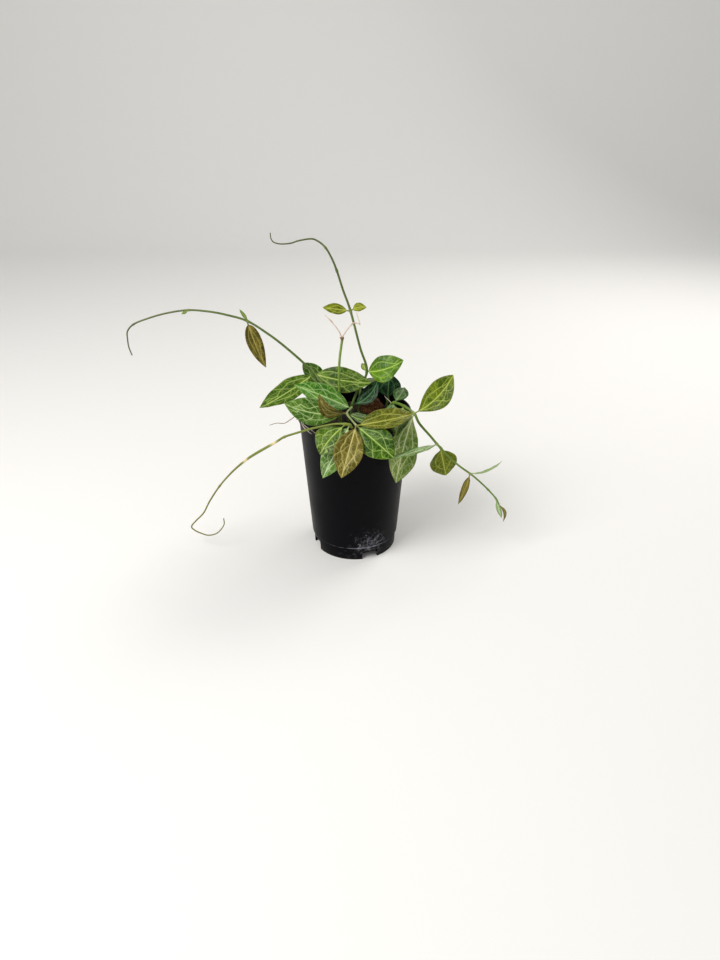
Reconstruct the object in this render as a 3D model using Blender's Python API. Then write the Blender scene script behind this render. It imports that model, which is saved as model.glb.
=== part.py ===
"""A potted dischidia: a black nursery pot, its bark mix, the climbing stems and every leaf as its own solid.

Lengths in the tables are millimetres, measured from the pot's axis at table level:
+X to the right, +Y away from the viewer, +Z up.
"""

import math

import bmesh
import bpy
from mathutils import Matrix, Vector

MM = 0.001
GAP = 0.3

# Pot
RIM_RADIUS = 50.0
RIM_HEIGHT = 134.0
LIP_PROUD = 1.0
LIP_HEIGHT = 7.0
WALL = 1.3
SHOULDER_RADIUS = 40.0
SHOULDER_HEIGHT = 13.0
FOOT_RADIUS = 38.2
FOOT_WALL = 2.0
FLOOR_HEIGHT = 3.4
POT_SIDES = 48
NOTCH_COUNT = 4
NOTCH_WIDTH = 15.0
NOTCH_HEIGHT = 8.6
NOTCH_DEPTH = 9.0
FIRST_NOTCH_DEG = -68.0
CENTRE_HOLE_RADIUS = 5.0

# Bark mix and the lump of coir on it
MIX_TOP = 122.0
MIX_SIDES = 36
COIR_CENTRE = (14.5, 17.0)
COIR_SIZE = (21.0, 13.0, 17.0)

# Where the pot's axis stands, so that the whole object's box is centred on the origin
POT_AXIS_AT = (27.4, -1.5)

# Leaves
LEAF_THICKNESS = 1.0
PETIOLE_RADIUS = 0.6
PETIOLE_LENGTH = 3.5
TIP_POWER = 0.95
LEAF_STATIONS = 9
LEAF_COLUMNS = 4
TUBE_SIDES = 6
STEPS_PER_SPAN = 1

# Each stem: radius at its root, radius at its tip, and the points that it grows through
STEMS = {
    "back_left_vine": (1.2, 0.5, [
        (-20, 10, 122.6), (-29, 13, 145), (-36, 14, 161), (-44, 12, 172), (-60, 10, 188), (-73, 9, 199),
        (-89, 8, 210), (-105, 8, 215), (-120, 8, 218), (-138, 9, 219), (-157, 10, 216), (-174, 11, 211),
        (-186, 12, 206), (-192, 12, 200), (-193, 12, 193), (-193, 12, 186), (-191, 11, 179),
    ]),
    "tall_vine": (1.2, 0.4, [
        (-5, 1, 122.6), (-2, 4, 136), (3, 8, 148), (11, 10, 165), (5, 12, 186), (-3, 14, 217),
        (-9, 15, 234),
        (-14, 15, 250), (-18, 15, 260), (-22.8, 14, 268.5), (-28.4, 13, 273.5), (-34, 12, 275.6),
        (-43.8, 10, 274.5), (-50, 9, 272.8), (-57.5, 7, 272.6), (-62.8, 5, 274.2), (-64.8, 3, 277.5),
        (-65, 2, 282),
    ]),
    "flower_stalk": (1.0, 0.9, [
        (-12, -2, 122.6), (-13, -0.6, 140), (-13, -0.6, 152), (-13, -1, 167), (-12, -1, 182),
        (-10, -1, 196),
        (-10, -1, 199),
    ]),
    "front_stem": (0.9, 0.8, [
        (-5, -3, 122.6), (-2, -9, 138), (-3, -16, 141), (-6, -26, 141), (-2, -36, 139.5), (2, -45, 138.5),
    ]),
    "low_left_vine": (1.1, 0.5, [
        (-1.5, -46.5, 139.3), (-3.5, -47, 140), (-7, -47, 140.8), (-15, -45.5, 140.2), (-27, -43.5, 137),
        (-36, -40.5, 133.5), (-47, -36, 128), (-59, -32, 122), (-68, -29, 115), (-85, -25, 103),
        (-96, -22, 94), (-109, -19, 81),
        (-122, -16, 65), (-133, -14, 48), (-140, -13, 35), (-148, -12, 26), (-153, -13, 20),
        (-150, -15, 17),
        (-144, -17, 15), (-137, -19, 14), (-130, -20, 16), (-125, -20, 20), (-121, -19, 26),
        (-121, -18, 32),
    ]),
    "right_vine": (1.2, 0.6, [
        (26, 8, 122.6), (31, 8, 132), (35, 4, 138), (43, -6, 139), (51.5, -15, 136), (56, -17.5, 128),
        (66, -19, 116.5), (72, -19, 109), (75.5, -19.2, 105.2), (82, -20, 98), (92, -20, 88.5),
        (103, -20, 80), (111, -20, 73),
        (120.5, -20, 63.5), (128.5, -20, 54), (131.5, -20, 48),
    ]),
    "back_stem": (1.2, 0.8, [
        (4, 22, 122.6), (5, 34, 139), (2, 49, 141), (-3, 60, 129), (-6, 65, 112),
    ]),
    "back_left_stem": (1.1, 0.8, [
        (-17, 22, 122.6), (-24, 32, 141), (-33, 44, 143), (-41, 54, 130), (-45, 59, 114),
    ]),
    "back_right_stem": (1.1, 0.8, [
        (28, 19, 122.6), (30, 23, 133), (31, 32, 140), (33, 42, 143), (37, 52, 134), (38, 58, 118),
    ]),
}

# Thin dry threads: the two spent flower stalks, and a root that hangs over the rim
THREADS = {
    "dried_flower_left": (0.35, [(-10.5, -1, 199.5), (-13, -1, 205), (-19, -1, 213), (-24, -1, 218)]),
    "dried_flower_right": (0.35, [
        (-9.5, -1, 199.5), (-6, -1, 205), (-1, 1, 210), (3, 2, 210), (5, 3, 209), (3, 4, 215), (2, 4, 219),
    ]),
}

# Leaf name: stem, node on it, tip, width, direction the upper side faces, bow of the midrib, sideways sweep,
# fold in degrees, share of the length where it is widest, colour
LEAVES = {
    "leaf_far_left": (
        "back_left_vine", 2, (-81, -14, 141), 23, (-0.2, -0.6, 0.8), 0, -2, 10, 0.42, "olive"),
    "leaf_left_folded": (
        "back_left_vine", 1, (-45, 17, 170.3), 16, (-0.2, -0.9, 0.3), -4, 3, 6, 0.55, "dark"),
    "leaf_top_middle": (
        "back_left_vine", 2, (14.7, 5.0, 156.3), 23.5, (0.0, -0.8, 0.6), 0, 2, 6, 0.45, "olive"),
    "leaf_left_vine_hanging": (
        "back_left_vine", 6, (-75, 0, 172), 13.5, (0.3, -0.9, 0.3), 0, 1, 12, 0.38, "bronze"),
    "leaf_left_vine_sliver": (
        "back_left_vine", 6, (-95, 8, 220), 3, (0.3, -0.9, 0.3), 0, 0, 10, 0.4, "green"),
    "leaf_left_vine_bud": (
        "back_left_vine", 9, (-143, 6, 216.5), 2.5, (0.3, -0.9, 0.3), 0, 0, 10, 0.4, "green"),
    "leaf_upper_left": (
        "front_stem", 1, (-50.5, -8, 159.5), 25, (0.1, -0.5, 0.9), 2, -1, 8, 0.45, "green"),
    "leaf_lower_left": (
        "front_stem", 3, (-58, -26, 150), 26, (0.0, -0.6, 0.8), -2, -3.5, 8, 0.53, "green"),
    "leaf_top_right": (
        "tall_vine", 3, (42, 2, 178), 25, (0.1, -0.7, 0.7), 2, 4, 8, 0.45, "green"),
    "leaf_behind_small": (
        "tall_vine", 3, (6.5, 21, 168.5), 5.5, (0.0, -0.8, 0.5), 0, 0, 10, 0.38, "dark"),
    "leaf_inner_narrow": (
        "tall_vine", 1, (20.5, 12, 156.2), 15, (-0.3, -0.8, 0.5), 0, 4.5, 12, 0.5, "dark"),
    "leaf_behind_middle": (
        "tall_vine", 2, (-9, 14, 158), 12, (0.0, -0.8, 0.5), 0, 0, 8, 0.45, "dark"),
    "leaf_tall_vine_left": (
        "tall_vine", 5, (-26, 10, 221), 10, (0.0, -0.75, 0.65), 0, 0, 10, 0.45, "green"),
    "leaf_tall_vine_right": (
        "tall_vine", 5, (10.5, 16, 219.5), 8, (0.0, -0.75, 0.65), 0, -1.5, 10, 0.45, "green"),
    "leaf_inner_dark": (
        "back_right_stem", 1, (31.5, 31, 155.3), 23, (-0.1, -0.95, 0.2), 0, 0, 8, 0.45, "dark"),
    "leaf_round_back": (
        "right_vine", 2, (45, 20, 146), 14, (-0.2, -0.7, 0.65), 1, 1, 8, 0.45, "dark"),
    "leaf_small_right": (
        "right_vine", 2, (31, -8, 130), 10, (0.0, -0.7, 0.7), 0, 0, 8, 0.42, "dark"),
    "leaf_right_upright": (
        "right_vine", 4, (83, -13, 170.5), 23, (-0.3, -0.8, 0.4), 0, 4, 10, 0.55, "green"),
    "leaf_right_hanging": (
        "right_vine", 4, (35.5, -50, 87.5), 30, (0.5, -0.8, 0.3), 5, 5, 6, 0.56, "pale"),
    "leaf_vine_edge_on": (
        "right_vine", 7, (29.7, -66, 118.5), 12, (0.0, 0.1, 0.98), 0, -1.5, 10, 0.5, "pale"),
    "leaf_vine_round": (
        "right_vine", 8, (82.5, -13, 74.5), 25, (0.0, -0.85, 0.5), 0, 0, 8, 0.42, "olive"),
    "leaf_vine_bronze": (
        "right_vine", 11, (93, -28, 53), 7, (-0.5, -0.7, 0.4), 0, -1, 20, 0.4, "bronze"),
    "leaf_vine_thin": (
        "right_vine", 11, (132, -12, 89), 8, (0.0, 0.5, 0.87), -3.5, 0, 15, 0.4, "pale"),
    "leaf_vine_tip_inner": (
        "right_vine", 14, (134.5, -24, 36), 5, (-0.5, -0.8, 0.0), 0, 0, 10, 0.45, "pale"),
    "leaf_vine_tip_outer": (
        "right_vine", 15, (136, -24, 32), 4, (0.5, -0.8, 0.2), 2, -3, 10, 0.45, "bronze"),
    "leaf_front_olive": (
        "front_stem", 5, (49.5, -28, 142), 23, (0.0, -0.4, 0.92), 4.2, 5, 14, 0.45, "bronze"),
    "leaf_front_right": (
        "front_stem", 5, (32.5, -66, 119.5), 27, (0.1, -0.85, 0.5), 1.9, 0, 6, 0.5, "green"),
    "leaf_front_bronze": (
        "front_stem", 5, (-10, -76, 106.5), 24, (0.0, -0.87, 0.49), 5, 0, 8, 0.5, "bronze"),
    "leaf_front_left": (
        "low_left_vine", 2, (-27.7, -62.0, 120.9), 25, (-0.2, -0.8, 0.6), 1, 1.5, 6, 0.55, "green"),
    "leaf_front_under": (
        "low_left_vine", 1, (-26, -58, 96.5), 22, (-0.1, -0.9, 0.4), 3.6, 0, 6, 0.42, "pale"),
    "leaf_young_folded": (
        "front_stem", 3, (-28.5, -36, 163), 14, (-0.5, -0.7, 0.5), 0, -7, 35, 0.45, "bronze"),
    "leaf_middle_green": (
        "front_stem", 3, (26, -15, 129), 17, (0.0, -0.3, 0.95), -3, 1, 8, 0.45, "green"),
    "leaf_behind_right": (
        "right_vine", 3, (34, -50, 131), 16, (0.0, -0.3, 0.95), 1, 0, 6, 0.45, "green"),
    "leaf_back_1": (
        "back_stem", 2, (-20, 62, 124), 22, (-0.2, 0.6, 0.7), 3, 0, 8, 0.42, "green"),
    "leaf_back_2": (
        "back_stem", 2, (25, 66, 128), 24, (0.2, 0.6, 0.7), 3, 0, 8, 0.42, "green"),
    "leaf_back_3": (
        "back_stem", 4, (-22, 75, 82), 22, (-0.3, 0.9, 0.3), 3, 0, 8, 0.42, "olive"),
    "leaf_back_4": (
        "back_stem", 3, (13, 78, 92), 22, (0.3, 0.9, 0.3), 3, 0, 8, 0.42, "green"),
    "leaf_back_5": (
        "back_left_stem", 2, (-62, 32, 134), 22, (-0.5, 0.2, 0.8), 3, 0, 8, 0.42, "green"),
    "leaf_back_6": (
        "back_left_stem", 4, (-47, 68, 84), 20, (-0.4, 0.9, 0.3), 2, 0, 8, 0.42, "bronze"),
    "leaf_back_7": (
        "back_left_stem", 3, (-22, 77, 99), 18, (0.0, 0.9, 0.3), 2, 0, 8, 0.42, "green"),
    "leaf_back_8": (
        "back_right_stem", 5, (25, 74, 88), 18, (-0.1, 0.9, 0.3), 2, 0, 8, 0.42, "olive"),
    "leaf_back_9": (
        "back_right_stem", 5, (54, 63, 92), 17, (0.5, 0.9, 0.3), 2, 0, 8, 0.42, "green"),
}

# Colour, roughness of each finish
FINISHES = {
    "black_plastic": ((0.012, 0.011, 0.014), 0.45),
    "mix": ((0.045, 0.028, 0.018), 0.95),
    "coir": ((0.16, 0.065, 0.03), 0.95),
    "stem": ((0.19, 0.28, 0.06), 0.5),
    "thread": ((0.45, 0.33, 0.25), 0.8),
    "green": ((0.09, 0.22, 0.03), 0.4),
    "olive": ((0.13, 0.2, 0.03), 0.4),
    "bronze": ((0.22, 0.2, 0.05), 0.45),
    "dark": ((0.02, 0.07, 0.03), 0.4),
    "pale": ((0.2, 0.32, 0.12), 0.45),
}


def finish(name):
    """The material of that finish, made once."""
    material = bpy.data.materials.get(name)
    if material is None:
        colour, roughness = FINISHES[name]
        material = bpy.data.materials.new(name)
        material.use_nodes = True
        shader = material.node_tree.nodes["Principled BSDF"]
        shader.inputs["Base Color"].default_value = (*colour, 1.0)
        shader.inputs["Roughness"].default_value = roughness
        shader.inputs["Metallic"].default_value = 0.0
    return material


def add_object(name, data, finish_name, stand):
    """An object of that data, painted, and carried by the pot's stand."""
    data.materials.append(finish(finish_name))
    obj = bpy.data.objects.new(name, data)
    bpy.context.scene.collection.objects.link(obj)
    obj.parent = stand
    return obj


def mesh_of(bm, name):
    """The bmesh as a mesh in metres, with its faces pointing out."""
    bmesh.ops.recalc_face_normals(bm, faces=bm.faces)
    bmesh.ops.scale(bm, vec=(MM, MM, MM), verts=bm.verts)
    mesh = bpy.data.meshes.new(name)
    bm.to_mesh(mesh)
    bm.free()
    mesh.shade_smooth()
    mesh.set_sharp_from_angle(angle=math.radians(40))
    return mesh


def turned(profile, sides):
    """A bmesh turned round Z from a closed (radius, height) profile that may touch the axis."""
    bm = bmesh.new()
    rings = []
    for radius, height in profile:
        if radius == 0:
            rings.append([bm.verts.new((0, 0, height))])
            continue
        turn = [2 * math.pi * k / sides for k in range(sides)]
        rings.append([bm.verts.new((radius * math.cos(a), radius * math.sin(a), height)) for a in turn])
    for lower, upper in zip(rings, rings[1:] + rings[:1]):
        if len(lower) == 1 and len(upper) == 1:
            continue
        for k in range(sides):
            n = (k + 1) % sides
            corners = [lower[k % len(lower)], lower[n % len(lower)]]
            corners += [upper[n % len(upper)], upper[k % len(upper)]]
            bm.faces.new(list(dict.fromkeys(corners)))
    return bm


def wall_radius(height):
    """Outer radius of the pot's wall at that height, above its foot."""
    share = (height - SHOULDER_HEIGHT) / (RIM_HEIGHT - SHOULDER_HEIGHT)
    return SHOULDER_RADIUS + share * (RIM_RADIUS - LIP_PROUD - SHOULDER_RADIUS)


def pot_profile():
    """(radius, height) round the pot's section, from the foot up the outside and down the inside."""
    lip_bottom = RIM_HEIGHT - LIP_HEIGHT
    floor_top = FLOOR_HEIGHT + WALL
    inner_rim = RIM_RADIUS - LIP_PROUD - WALL
    return [
        (FOOT_RADIUS - FOOT_WALL, 0), (FOOT_RADIUS, 0), (FOOT_RADIUS + 0.4, SHOULDER_HEIGHT - 1.2),
        (SHOULDER_RADIUS, SHOULDER_HEIGHT), (wall_radius(lip_bottom), lip_bottom),
        (RIM_RADIUS - 0.2, lip_bottom + 0.8), (RIM_RADIUS, RIM_HEIGHT - 0.7),
        (RIM_RADIUS - 0.6, RIM_HEIGHT),
        (inner_rim + 0.4, RIM_HEIGHT), (inner_rim, RIM_HEIGHT - 0.7),
        (SHOULDER_RADIUS - WALL, SHOULDER_HEIGHT + 0.5),
        (FOOT_RADIUS + 0.4 - WALL, SHOULDER_HEIGHT - 1.2), (FOOT_RADIUS - 1.5, floor_top),
        (CENTRE_HOLE_RADIUS, floor_top), (CENTRE_HOLE_RADIUS, FLOOR_HEIGHT),
        (FOOT_RADIUS - FOOT_WALL, FLOOR_HEIGHT),
    ]


def notch_cutter(angle_deg, stand):
    """A block that cuts one drain notch through the foot, the wall's corner and the floor's edge."""
    bm = bmesh.new()
    bmesh.ops.create_cube(bm, size=1)
    bmesh.ops.scale(bm, vec=(NOTCH_DEPTH, NOTCH_WIDTH, 2 * NOTCH_HEIGHT), verts=bm.verts)
    bmesh.ops.translate(bm, vec=(FOOT_RADIUS, 0, 0), verts=bm.verts)
    bmesh.ops.rotate(bm, matrix=Matrix.Rotation(math.radians(angle_deg), 3, "Z"), verts=bm.verts)
    cutter = add_object(f"notch_cutter_{round(angle_deg)}", mesh_of(bm, "notch"), "black_plastic", stand)
    cutter.hide_render = True
    cutter.display_type = "WIRE"
    return cutter


def make_pot(stand):
    """The pot: one moulded shell with its foot, floor and drain notches."""
    pot = add_object("pot", mesh_of(turned(pot_profile(), POT_SIDES), "pot"), "black_plastic", stand)
    for k in range(NOTCH_COUNT):
        cut = pot.modifiers.new(f"drain_notch_{k + 1}", "BOOLEAN")
        cut.operation = "DIFFERENCE"
        cut.object = notch_cutter(FIRST_NOTCH_DEG + 360 / NOTCH_COUNT * k, stand)


def make_mix(stand):
    """The bark mix that fills the pot to a finger's width below the rim."""
    low = FLOOR_HEIGHT + WALL + GAP
    share = (MIX_TOP - SHOULDER_HEIGHT) / (RIM_HEIGHT - SHOULDER_HEIGHT)
    inner_low, inner_rim = SHOULDER_RADIUS - WALL, RIM_RADIUS - LIP_PROUD - WALL
    top_radius = inner_low + share * (inner_rim - inner_low) - 2 * GAP
    profile = [
        (0, low), (FOOT_RADIUS - 3.0, low), (FOOT_RADIUS - 1.6, SHOULDER_HEIGHT - 1.5),
        (inner_low - 2 * GAP, SHOULDER_HEIGHT + 1.5),
        (top_radius, MIX_TOP), (0, MIX_TOP),
    ]
    add_object("potting_mix", mesh_of(turned(profile, MIX_SIDES), "potting_mix"), "mix", stand)


def make_coir(stand):
    """The lump of coir that lies on the mix: a rough wedge, low to the left and steep to the right."""
    bm = bmesh.new()
    bmesh.ops.create_icosphere(bm, subdivisions=2, radius=0.5)
    for v in bm.verts:
        lean = 0.35 * (v.co.x + 0.5)
        v.co.z = max(v.co.z, -0.3) * (0.65 + lean)
        v.co.x += 0.12 * math.sin(9 * v.co.y)
    low = min(v.co.z for v in bm.verts)
    for v in bm.verts:
        v.co = Vector((
            COIR_CENTRE[0] + v.co.x * COIR_SIZE[0],
            COIR_CENTRE[1] + v.co.y * COIR_SIZE[1],
            MIX_TOP + GAP + (v.co.z - low) * COIR_SIZE[2] * 1.2,
        ))
    add_object("coir_lump", mesh_of(bm, "coir_lump"), "coir", stand)


def smooth_route(points, steps):
    """Points along a Catmull-Rom curve through the given ones, with that many steps a span."""
    known = [Vector(p) for p in points]
    ends = [2 * known[0] - known[1], *known, 2 * known[-1] - known[-2]]
    route = []
    for a, b, c, d in zip(ends, ends[1:], ends[2:], ends[3:]):
        for k in range(steps):
            t = k / steps
            route.append(0.5 * (2 * b + (c - a) * t + (2 * a - 5 * b + 4 * c - d) * t * t
                                + (3 * b - a - 3 * c + d) * t * t * t))
    return [*route, known[-1]]


def make_tube(name, points, root_radius, tip_radius, finish_name, stand):
    """A round stem along a smooth curve through the points, thinner towards its tip."""
    route = smooth_route(points, STEPS_PER_SPAN)
    curve = bpy.data.curves.new(name, "CURVE")
    curve.dimensions = "3D"
    curve.bevel_depth = MM
    curve.bevel_resolution = (TUBE_SIDES - 4) // 2
    curve.use_fill_caps = True
    spline = curve.splines.new("POLY")
    spline.points.add(len(route) - 1)
    for k, (point, place) in enumerate(zip(spline.points, route)):
        point.co = (*(place * MM), 1)
        point.radius = root_radius + (tip_radius - root_radius) * k / (len(route) - 1)
    add_object(name, curve, finish_name, stand)


def blade_share(along, widest):
    """The blade's half width as a share of its largest, round at the base and pointed at the tip."""
    if along <= 0 or along >= 1:
        return 0.0
    base_power = TIP_POWER * widest / (1 - widest)
    return (along / widest) ** base_power * ((1 - along) / (1 - widest)) ** TIP_POWER


def leaf_root(stem, node, towards):
    """Where a leaf stalk starts: on the stem's skin, on the side that the leaf grows to."""
    root_radius, tip_radius, points = STEMS[stem]
    here = Vector(points[node])
    before, after = points[max(node - 1, 0)], points[min(node + 1, len(points) - 1)]
    tangent = (Vector(after) - Vector(before)).normalized()
    growth = Vector(towards) - here
    out = (growth - growth.dot(tangent) * tangent).normalized()
    radius = root_radius + (tip_radius - root_radius) * node / (len(points) - 1)
    return here + out * (radius + GAP + 0.75 * PETIOLE_RADIUS)


def leaf_mesh(name, root, tip, width, face, bow, sweep, fold_deg, widest):
    """A closed leaf: a short round stalk that widens into a thin blade, lens-shaped in section."""
    chord = tip - root
    length = chord.length
    along = chord / length
    normal = (face - face.dot(along) * along).normalized()
    side = along.cross(normal)
    stalk = min(PETIOLE_LENGTH, 0.2 * length) / length
    fold = math.radians(fold_deg)
    columns = [2 * k / LEAF_COLUMNS - 1 for k in range(LEAF_COLUMNS + 1)]
    bm = bmesh.new()
    rings = []
    for k in range(LEAF_STATIONS):
        onward = max(0.0, (k - 1) / (LEAF_STATIONS - 1))
        share = 0.6 * stalk * min(k, 1) + (1 - 0.6 * stalk) * (1 - math.cos(math.pi * onward)) / 2
        hump = 4 * share * (1 - share)
        centre = root + chord * share + normal * (bow * hump) + side * (sweep * hump)
        blade = blade_share((share - 0.6 * stalk) / (1 - 0.6 * stalk), widest)
        half_width = max(0.5 * width * blade, PETIOLE_RADIUS)
        half_thick = max(0.5 * LEAF_THICKNESS, PETIOLE_RADIUS * (1 - share / stalk))
        rise = half_width * math.sin(fold) * (1 if half_width > PETIOLE_RADIUS else 0)
        top, bottom = [], []
        for t in columns:
            spine = centre + side * (half_width * t * math.cos(fold)) + normal * (rise * abs(t))
            lens = half_thick * math.sqrt(1 - t * t)
            top.append(bm.verts.new(spine + normal * lens))
            if abs(t) < 1:
                bottom.append(bm.verts.new(spine - normal * lens))
        rings.append(top + bottom[::-1])
    point = bm.verts.new(tip)
    for ring, following in zip(rings, rings[1:]):
        for k in range(len(ring)):
            n = (k + 1) % len(ring)
            bm.faces.new((ring[k], ring[n], following[n], following[k]))
    for k in range(len(rings[-1])):
        bm.faces.new((rings[-1][k], rings[-1][(k + 1) % len(rings[-1])], point))
    bm.faces.new(rings[0][::-1])
    return mesh_of(bm, name)


def make_leaf(name, stand):
    """One leaf of the table, seated on its stem."""
    stem, node, tip, width, face, bow, sweep, fold_deg, widest, finish_name = LEAVES[name]
    root = leaf_root(stem, node, tip)
    mesh = leaf_mesh(name, root, Vector(tip), width, Vector(face), bow, sweep, fold_deg, widest)
    add_object(name, mesh, finish_name, stand)


def main():
    for obj in list(bpy.data.objects):
        bpy.data.objects.remove(obj)
    stand = bpy.data.objects.new("stand", None)
    bpy.context.scene.collection.objects.link(stand)
    stand.location = (POT_AXIS_AT[0] * MM, POT_AXIS_AT[1] * MM, 0)
    make_pot(stand)
    make_mix(stand)
    make_coir(stand)
    for name, (root_radius, tip_radius, points) in STEMS.items():
        make_tube(name, points, root_radius, tip_radius, "stem", stand)
    for name, (radius, points) in THREADS.items():
        make_tube(name, points, radius, radius, "thread", stand)
    for name in LEAVES:
        make_leaf(name, stand)


main()
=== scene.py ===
# %% [markdown]
# # A potted dischidia
#
# The real thing is a young climbing plant with thick waxy leaves and long bare vines, in a tall black
# nursery pot. This lesson rebuilds its looks in Blender, piece by piece, inside a frame that is already
# there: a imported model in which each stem, each leaf and the pot has its place. The frame is loaded first,
# and its box is kept, so that the finished looks can be measured against it.

# %% Load the frame
import math
import random

import bmesh
import bpy
from mathutils import Matrix, Vector


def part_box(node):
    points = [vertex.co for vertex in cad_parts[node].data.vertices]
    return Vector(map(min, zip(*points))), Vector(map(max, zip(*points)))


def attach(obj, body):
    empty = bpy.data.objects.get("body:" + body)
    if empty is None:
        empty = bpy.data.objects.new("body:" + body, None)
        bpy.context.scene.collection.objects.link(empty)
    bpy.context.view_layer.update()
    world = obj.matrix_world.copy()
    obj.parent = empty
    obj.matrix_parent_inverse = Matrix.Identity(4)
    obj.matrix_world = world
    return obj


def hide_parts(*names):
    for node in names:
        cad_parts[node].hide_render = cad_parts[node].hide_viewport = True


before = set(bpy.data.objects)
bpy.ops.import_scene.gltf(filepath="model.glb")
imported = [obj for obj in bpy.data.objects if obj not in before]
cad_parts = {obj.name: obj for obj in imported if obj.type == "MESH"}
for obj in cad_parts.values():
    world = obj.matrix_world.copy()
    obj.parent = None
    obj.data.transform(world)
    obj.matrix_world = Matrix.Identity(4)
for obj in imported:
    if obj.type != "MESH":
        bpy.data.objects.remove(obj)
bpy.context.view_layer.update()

# %% [markdown]
# ## Where the pot stands
#
# Every length in the tables below is in millimetres from the pot's axis at table level, because that is how
# one would measure a plant with a ruler. The frame's origin is under the middle of the whole plant, so one
# small function moves a point from the ruler's place to the frame's. A pattern's scale counts the other way
# round, in lumps to a length: 2 * PER_MM means two lumps on each millimetre.

# %% Millimetres to the frame
MM = 0.001
PER_MM = 1 / MM
pot_low, pot_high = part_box("pot")
POT_AXIS = Vector(((pot_low[0] + pot_high[0]) / 2, (pot_low[1] + pot_high[1]) / 2, 0))


def place(point):
    """A point in millimetres from the pot's axis, as a place in the frame."""
    return POT_AXIS + Vector(point) * MM


print("pot axis at", [round(v / MM, 1) for v in POT_AXIS], "mm")

# %% [markdown]
# ## The camera and the light
#
# The camera stands in front and above, at arm's length, looking down by 29 degrees. A 36 mm lens shows the
# plant with the same foreshortening as the real view. A big soft lamp above on the left gives the broad waxy
# highlights, a second one behind on the right lights the leaves' edges, and a pale world fills the shadows.
# The plain Standard view keeps the greens as saturated as they are painted.

# %% Camera
CAMERA_AT = (5, -583, 387)
LOOKING_DOWN = 29.1
SENSOR_WIDTH, LENS = 36, 36.05
NEAREST_SEEN = 0.01
camera = bpy.data.objects.new("camera", bpy.data.cameras.new("camera"))
bpy.context.scene.collection.objects.link(camera)
camera.data.sensor_fit = "HORIZONTAL"
camera.data.sensor_width = SENSOR_WIDTH
camera.data.lens = LENS
camera.data.clip_start = NEAREST_SEEN
camera.location = place(CAMERA_AT)
camera.rotation_euler = (math.radians(90 - LOOKING_DOWN), 0, 0)
bpy.context.scene.camera = camera
print("camera at", [round(v, 3) for v in camera.location])


# %% Lights
LIT_POINT = Vector((0, 0, 0.13))
ROOM_COLOUR, ROOM_STRENGTH = (0.99, 1.0, 1.0, 1), 0.5


def soft_light(name, at, power, size, colour):
    """A square lamp that looks at the leaves."""
    lamp = bpy.data.lights.new(name, "AREA")
    lamp.energy = power
    lamp.size = size
    lamp.color = colour
    obj = bpy.data.objects.new(name, lamp)
    obj.location = at
    obj.rotation_euler = (LIT_POINT - Vector(at)).to_track_quat("-Z", "Y").to_euler()
    bpy.context.scene.collection.objects.link(obj)


soft_light("window_light", (-0.75, -0.65, 1.15), 17, 0.8, (1.0, 0.98, 0.95))
soft_light("back_light", (0.85, 0.75, 0.95), 8, 0.7, (1.0, 0.97, 0.92))
world = bpy.data.worlds.new("pale_room")
bpy.context.scene.world = world
world.use_nodes = True
background = world.node_tree.nodes["Background"]
background.inputs["Color"].default_value = ROOM_COLOUR
background.inputs["Strength"].default_value = ROOM_STRENGTH
bpy.context.scene.view_settings.view_transform = "Standard"

# %% [markdown]
# ## Small tools for node trees
#
# A material and a Geometry Nodes group are both node trees, so one function that adds a node serves both. It
# fills the node's open sockets in order, or by name where there are many. Colours are written as the hex
# values that a paint card gives, and turned to the linear light that the renderer counts in. The long names
# of the nodes that come up all the time get a short one.


# %% Node helper and colours
def linear(hex_colour):
    """An sRGB hex colour as linear red, green, blue and alpha."""
    channels = [int(hex_colour[k:k + 2], 16) / 255 for k in (1, 3, 5)]
    return (*[c / 12.92 if c <= 0.04045 else ((c + 0.055) / 1.055) ** 2.4 for c in channels], 1.0)


def fill(tree, socket, value):
    """Links a node or one of its outputs to the socket, or writes a plain value into it."""
    if isinstance(value, bpy.types.Node):
        value = next(s for s in value.outputs if s.enabled)
    if isinstance(value, bpy.types.NodeSocket):
        tree.links.new(value, socket)
    else:
        socket.default_value = value


def add(tree, kind, *values, into=None, **settings):
    """Adds a node with its settings, and fills its sockets in order or, with into, by name."""
    node = tree.nodes.new(kind)
    for name, value in settings.items():
        setattr(node, name, value)
    sockets = [s for s in node.inputs if s.enabled]
    named = [(next(s for s in sockets if s.name == name), value) for name, value in (into or {}).items()]
    for socket, value in [*zip(sockets, values), *named]:
        fill(tree, socket, value)
    return node


MATH, VECTOR, XYZ = "ShaderNodeMath", "ShaderNodeVectorMath", "ShaderNodeCombineXYZ"
MIX, RANGE, NOISE = "ShaderNodeMix", "ShaderNodeMapRange", "ShaderNodeTexNoise"
STORED, STORE = "ShaderNodeAttribute", "GeometryNodeStoreNamedAttribute"
print("leaf green in linear light:", [round(v, 3) for v in linear("#3f7a1c")])


# %% New materials and new Geometry Nodes groups
WAX_AND_FIBRE_IOR = 1.4


def new_material(name, roughness, specular=0.5):
    """An empty Principled material, as (material, tree, shader)."""
    material = bpy.data.materials.new(name)
    material.use_nodes = True
    shader = material.node_tree.nodes["Principled BSDF"]
    shader.inputs["Roughness"].default_value = roughness
    shader.inputs["IOR"].default_value = WAX_AND_FIBRE_IOR
    shader.inputs["Specular IOR Level"].default_value = specular
    return material, material.node_tree, shader


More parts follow.
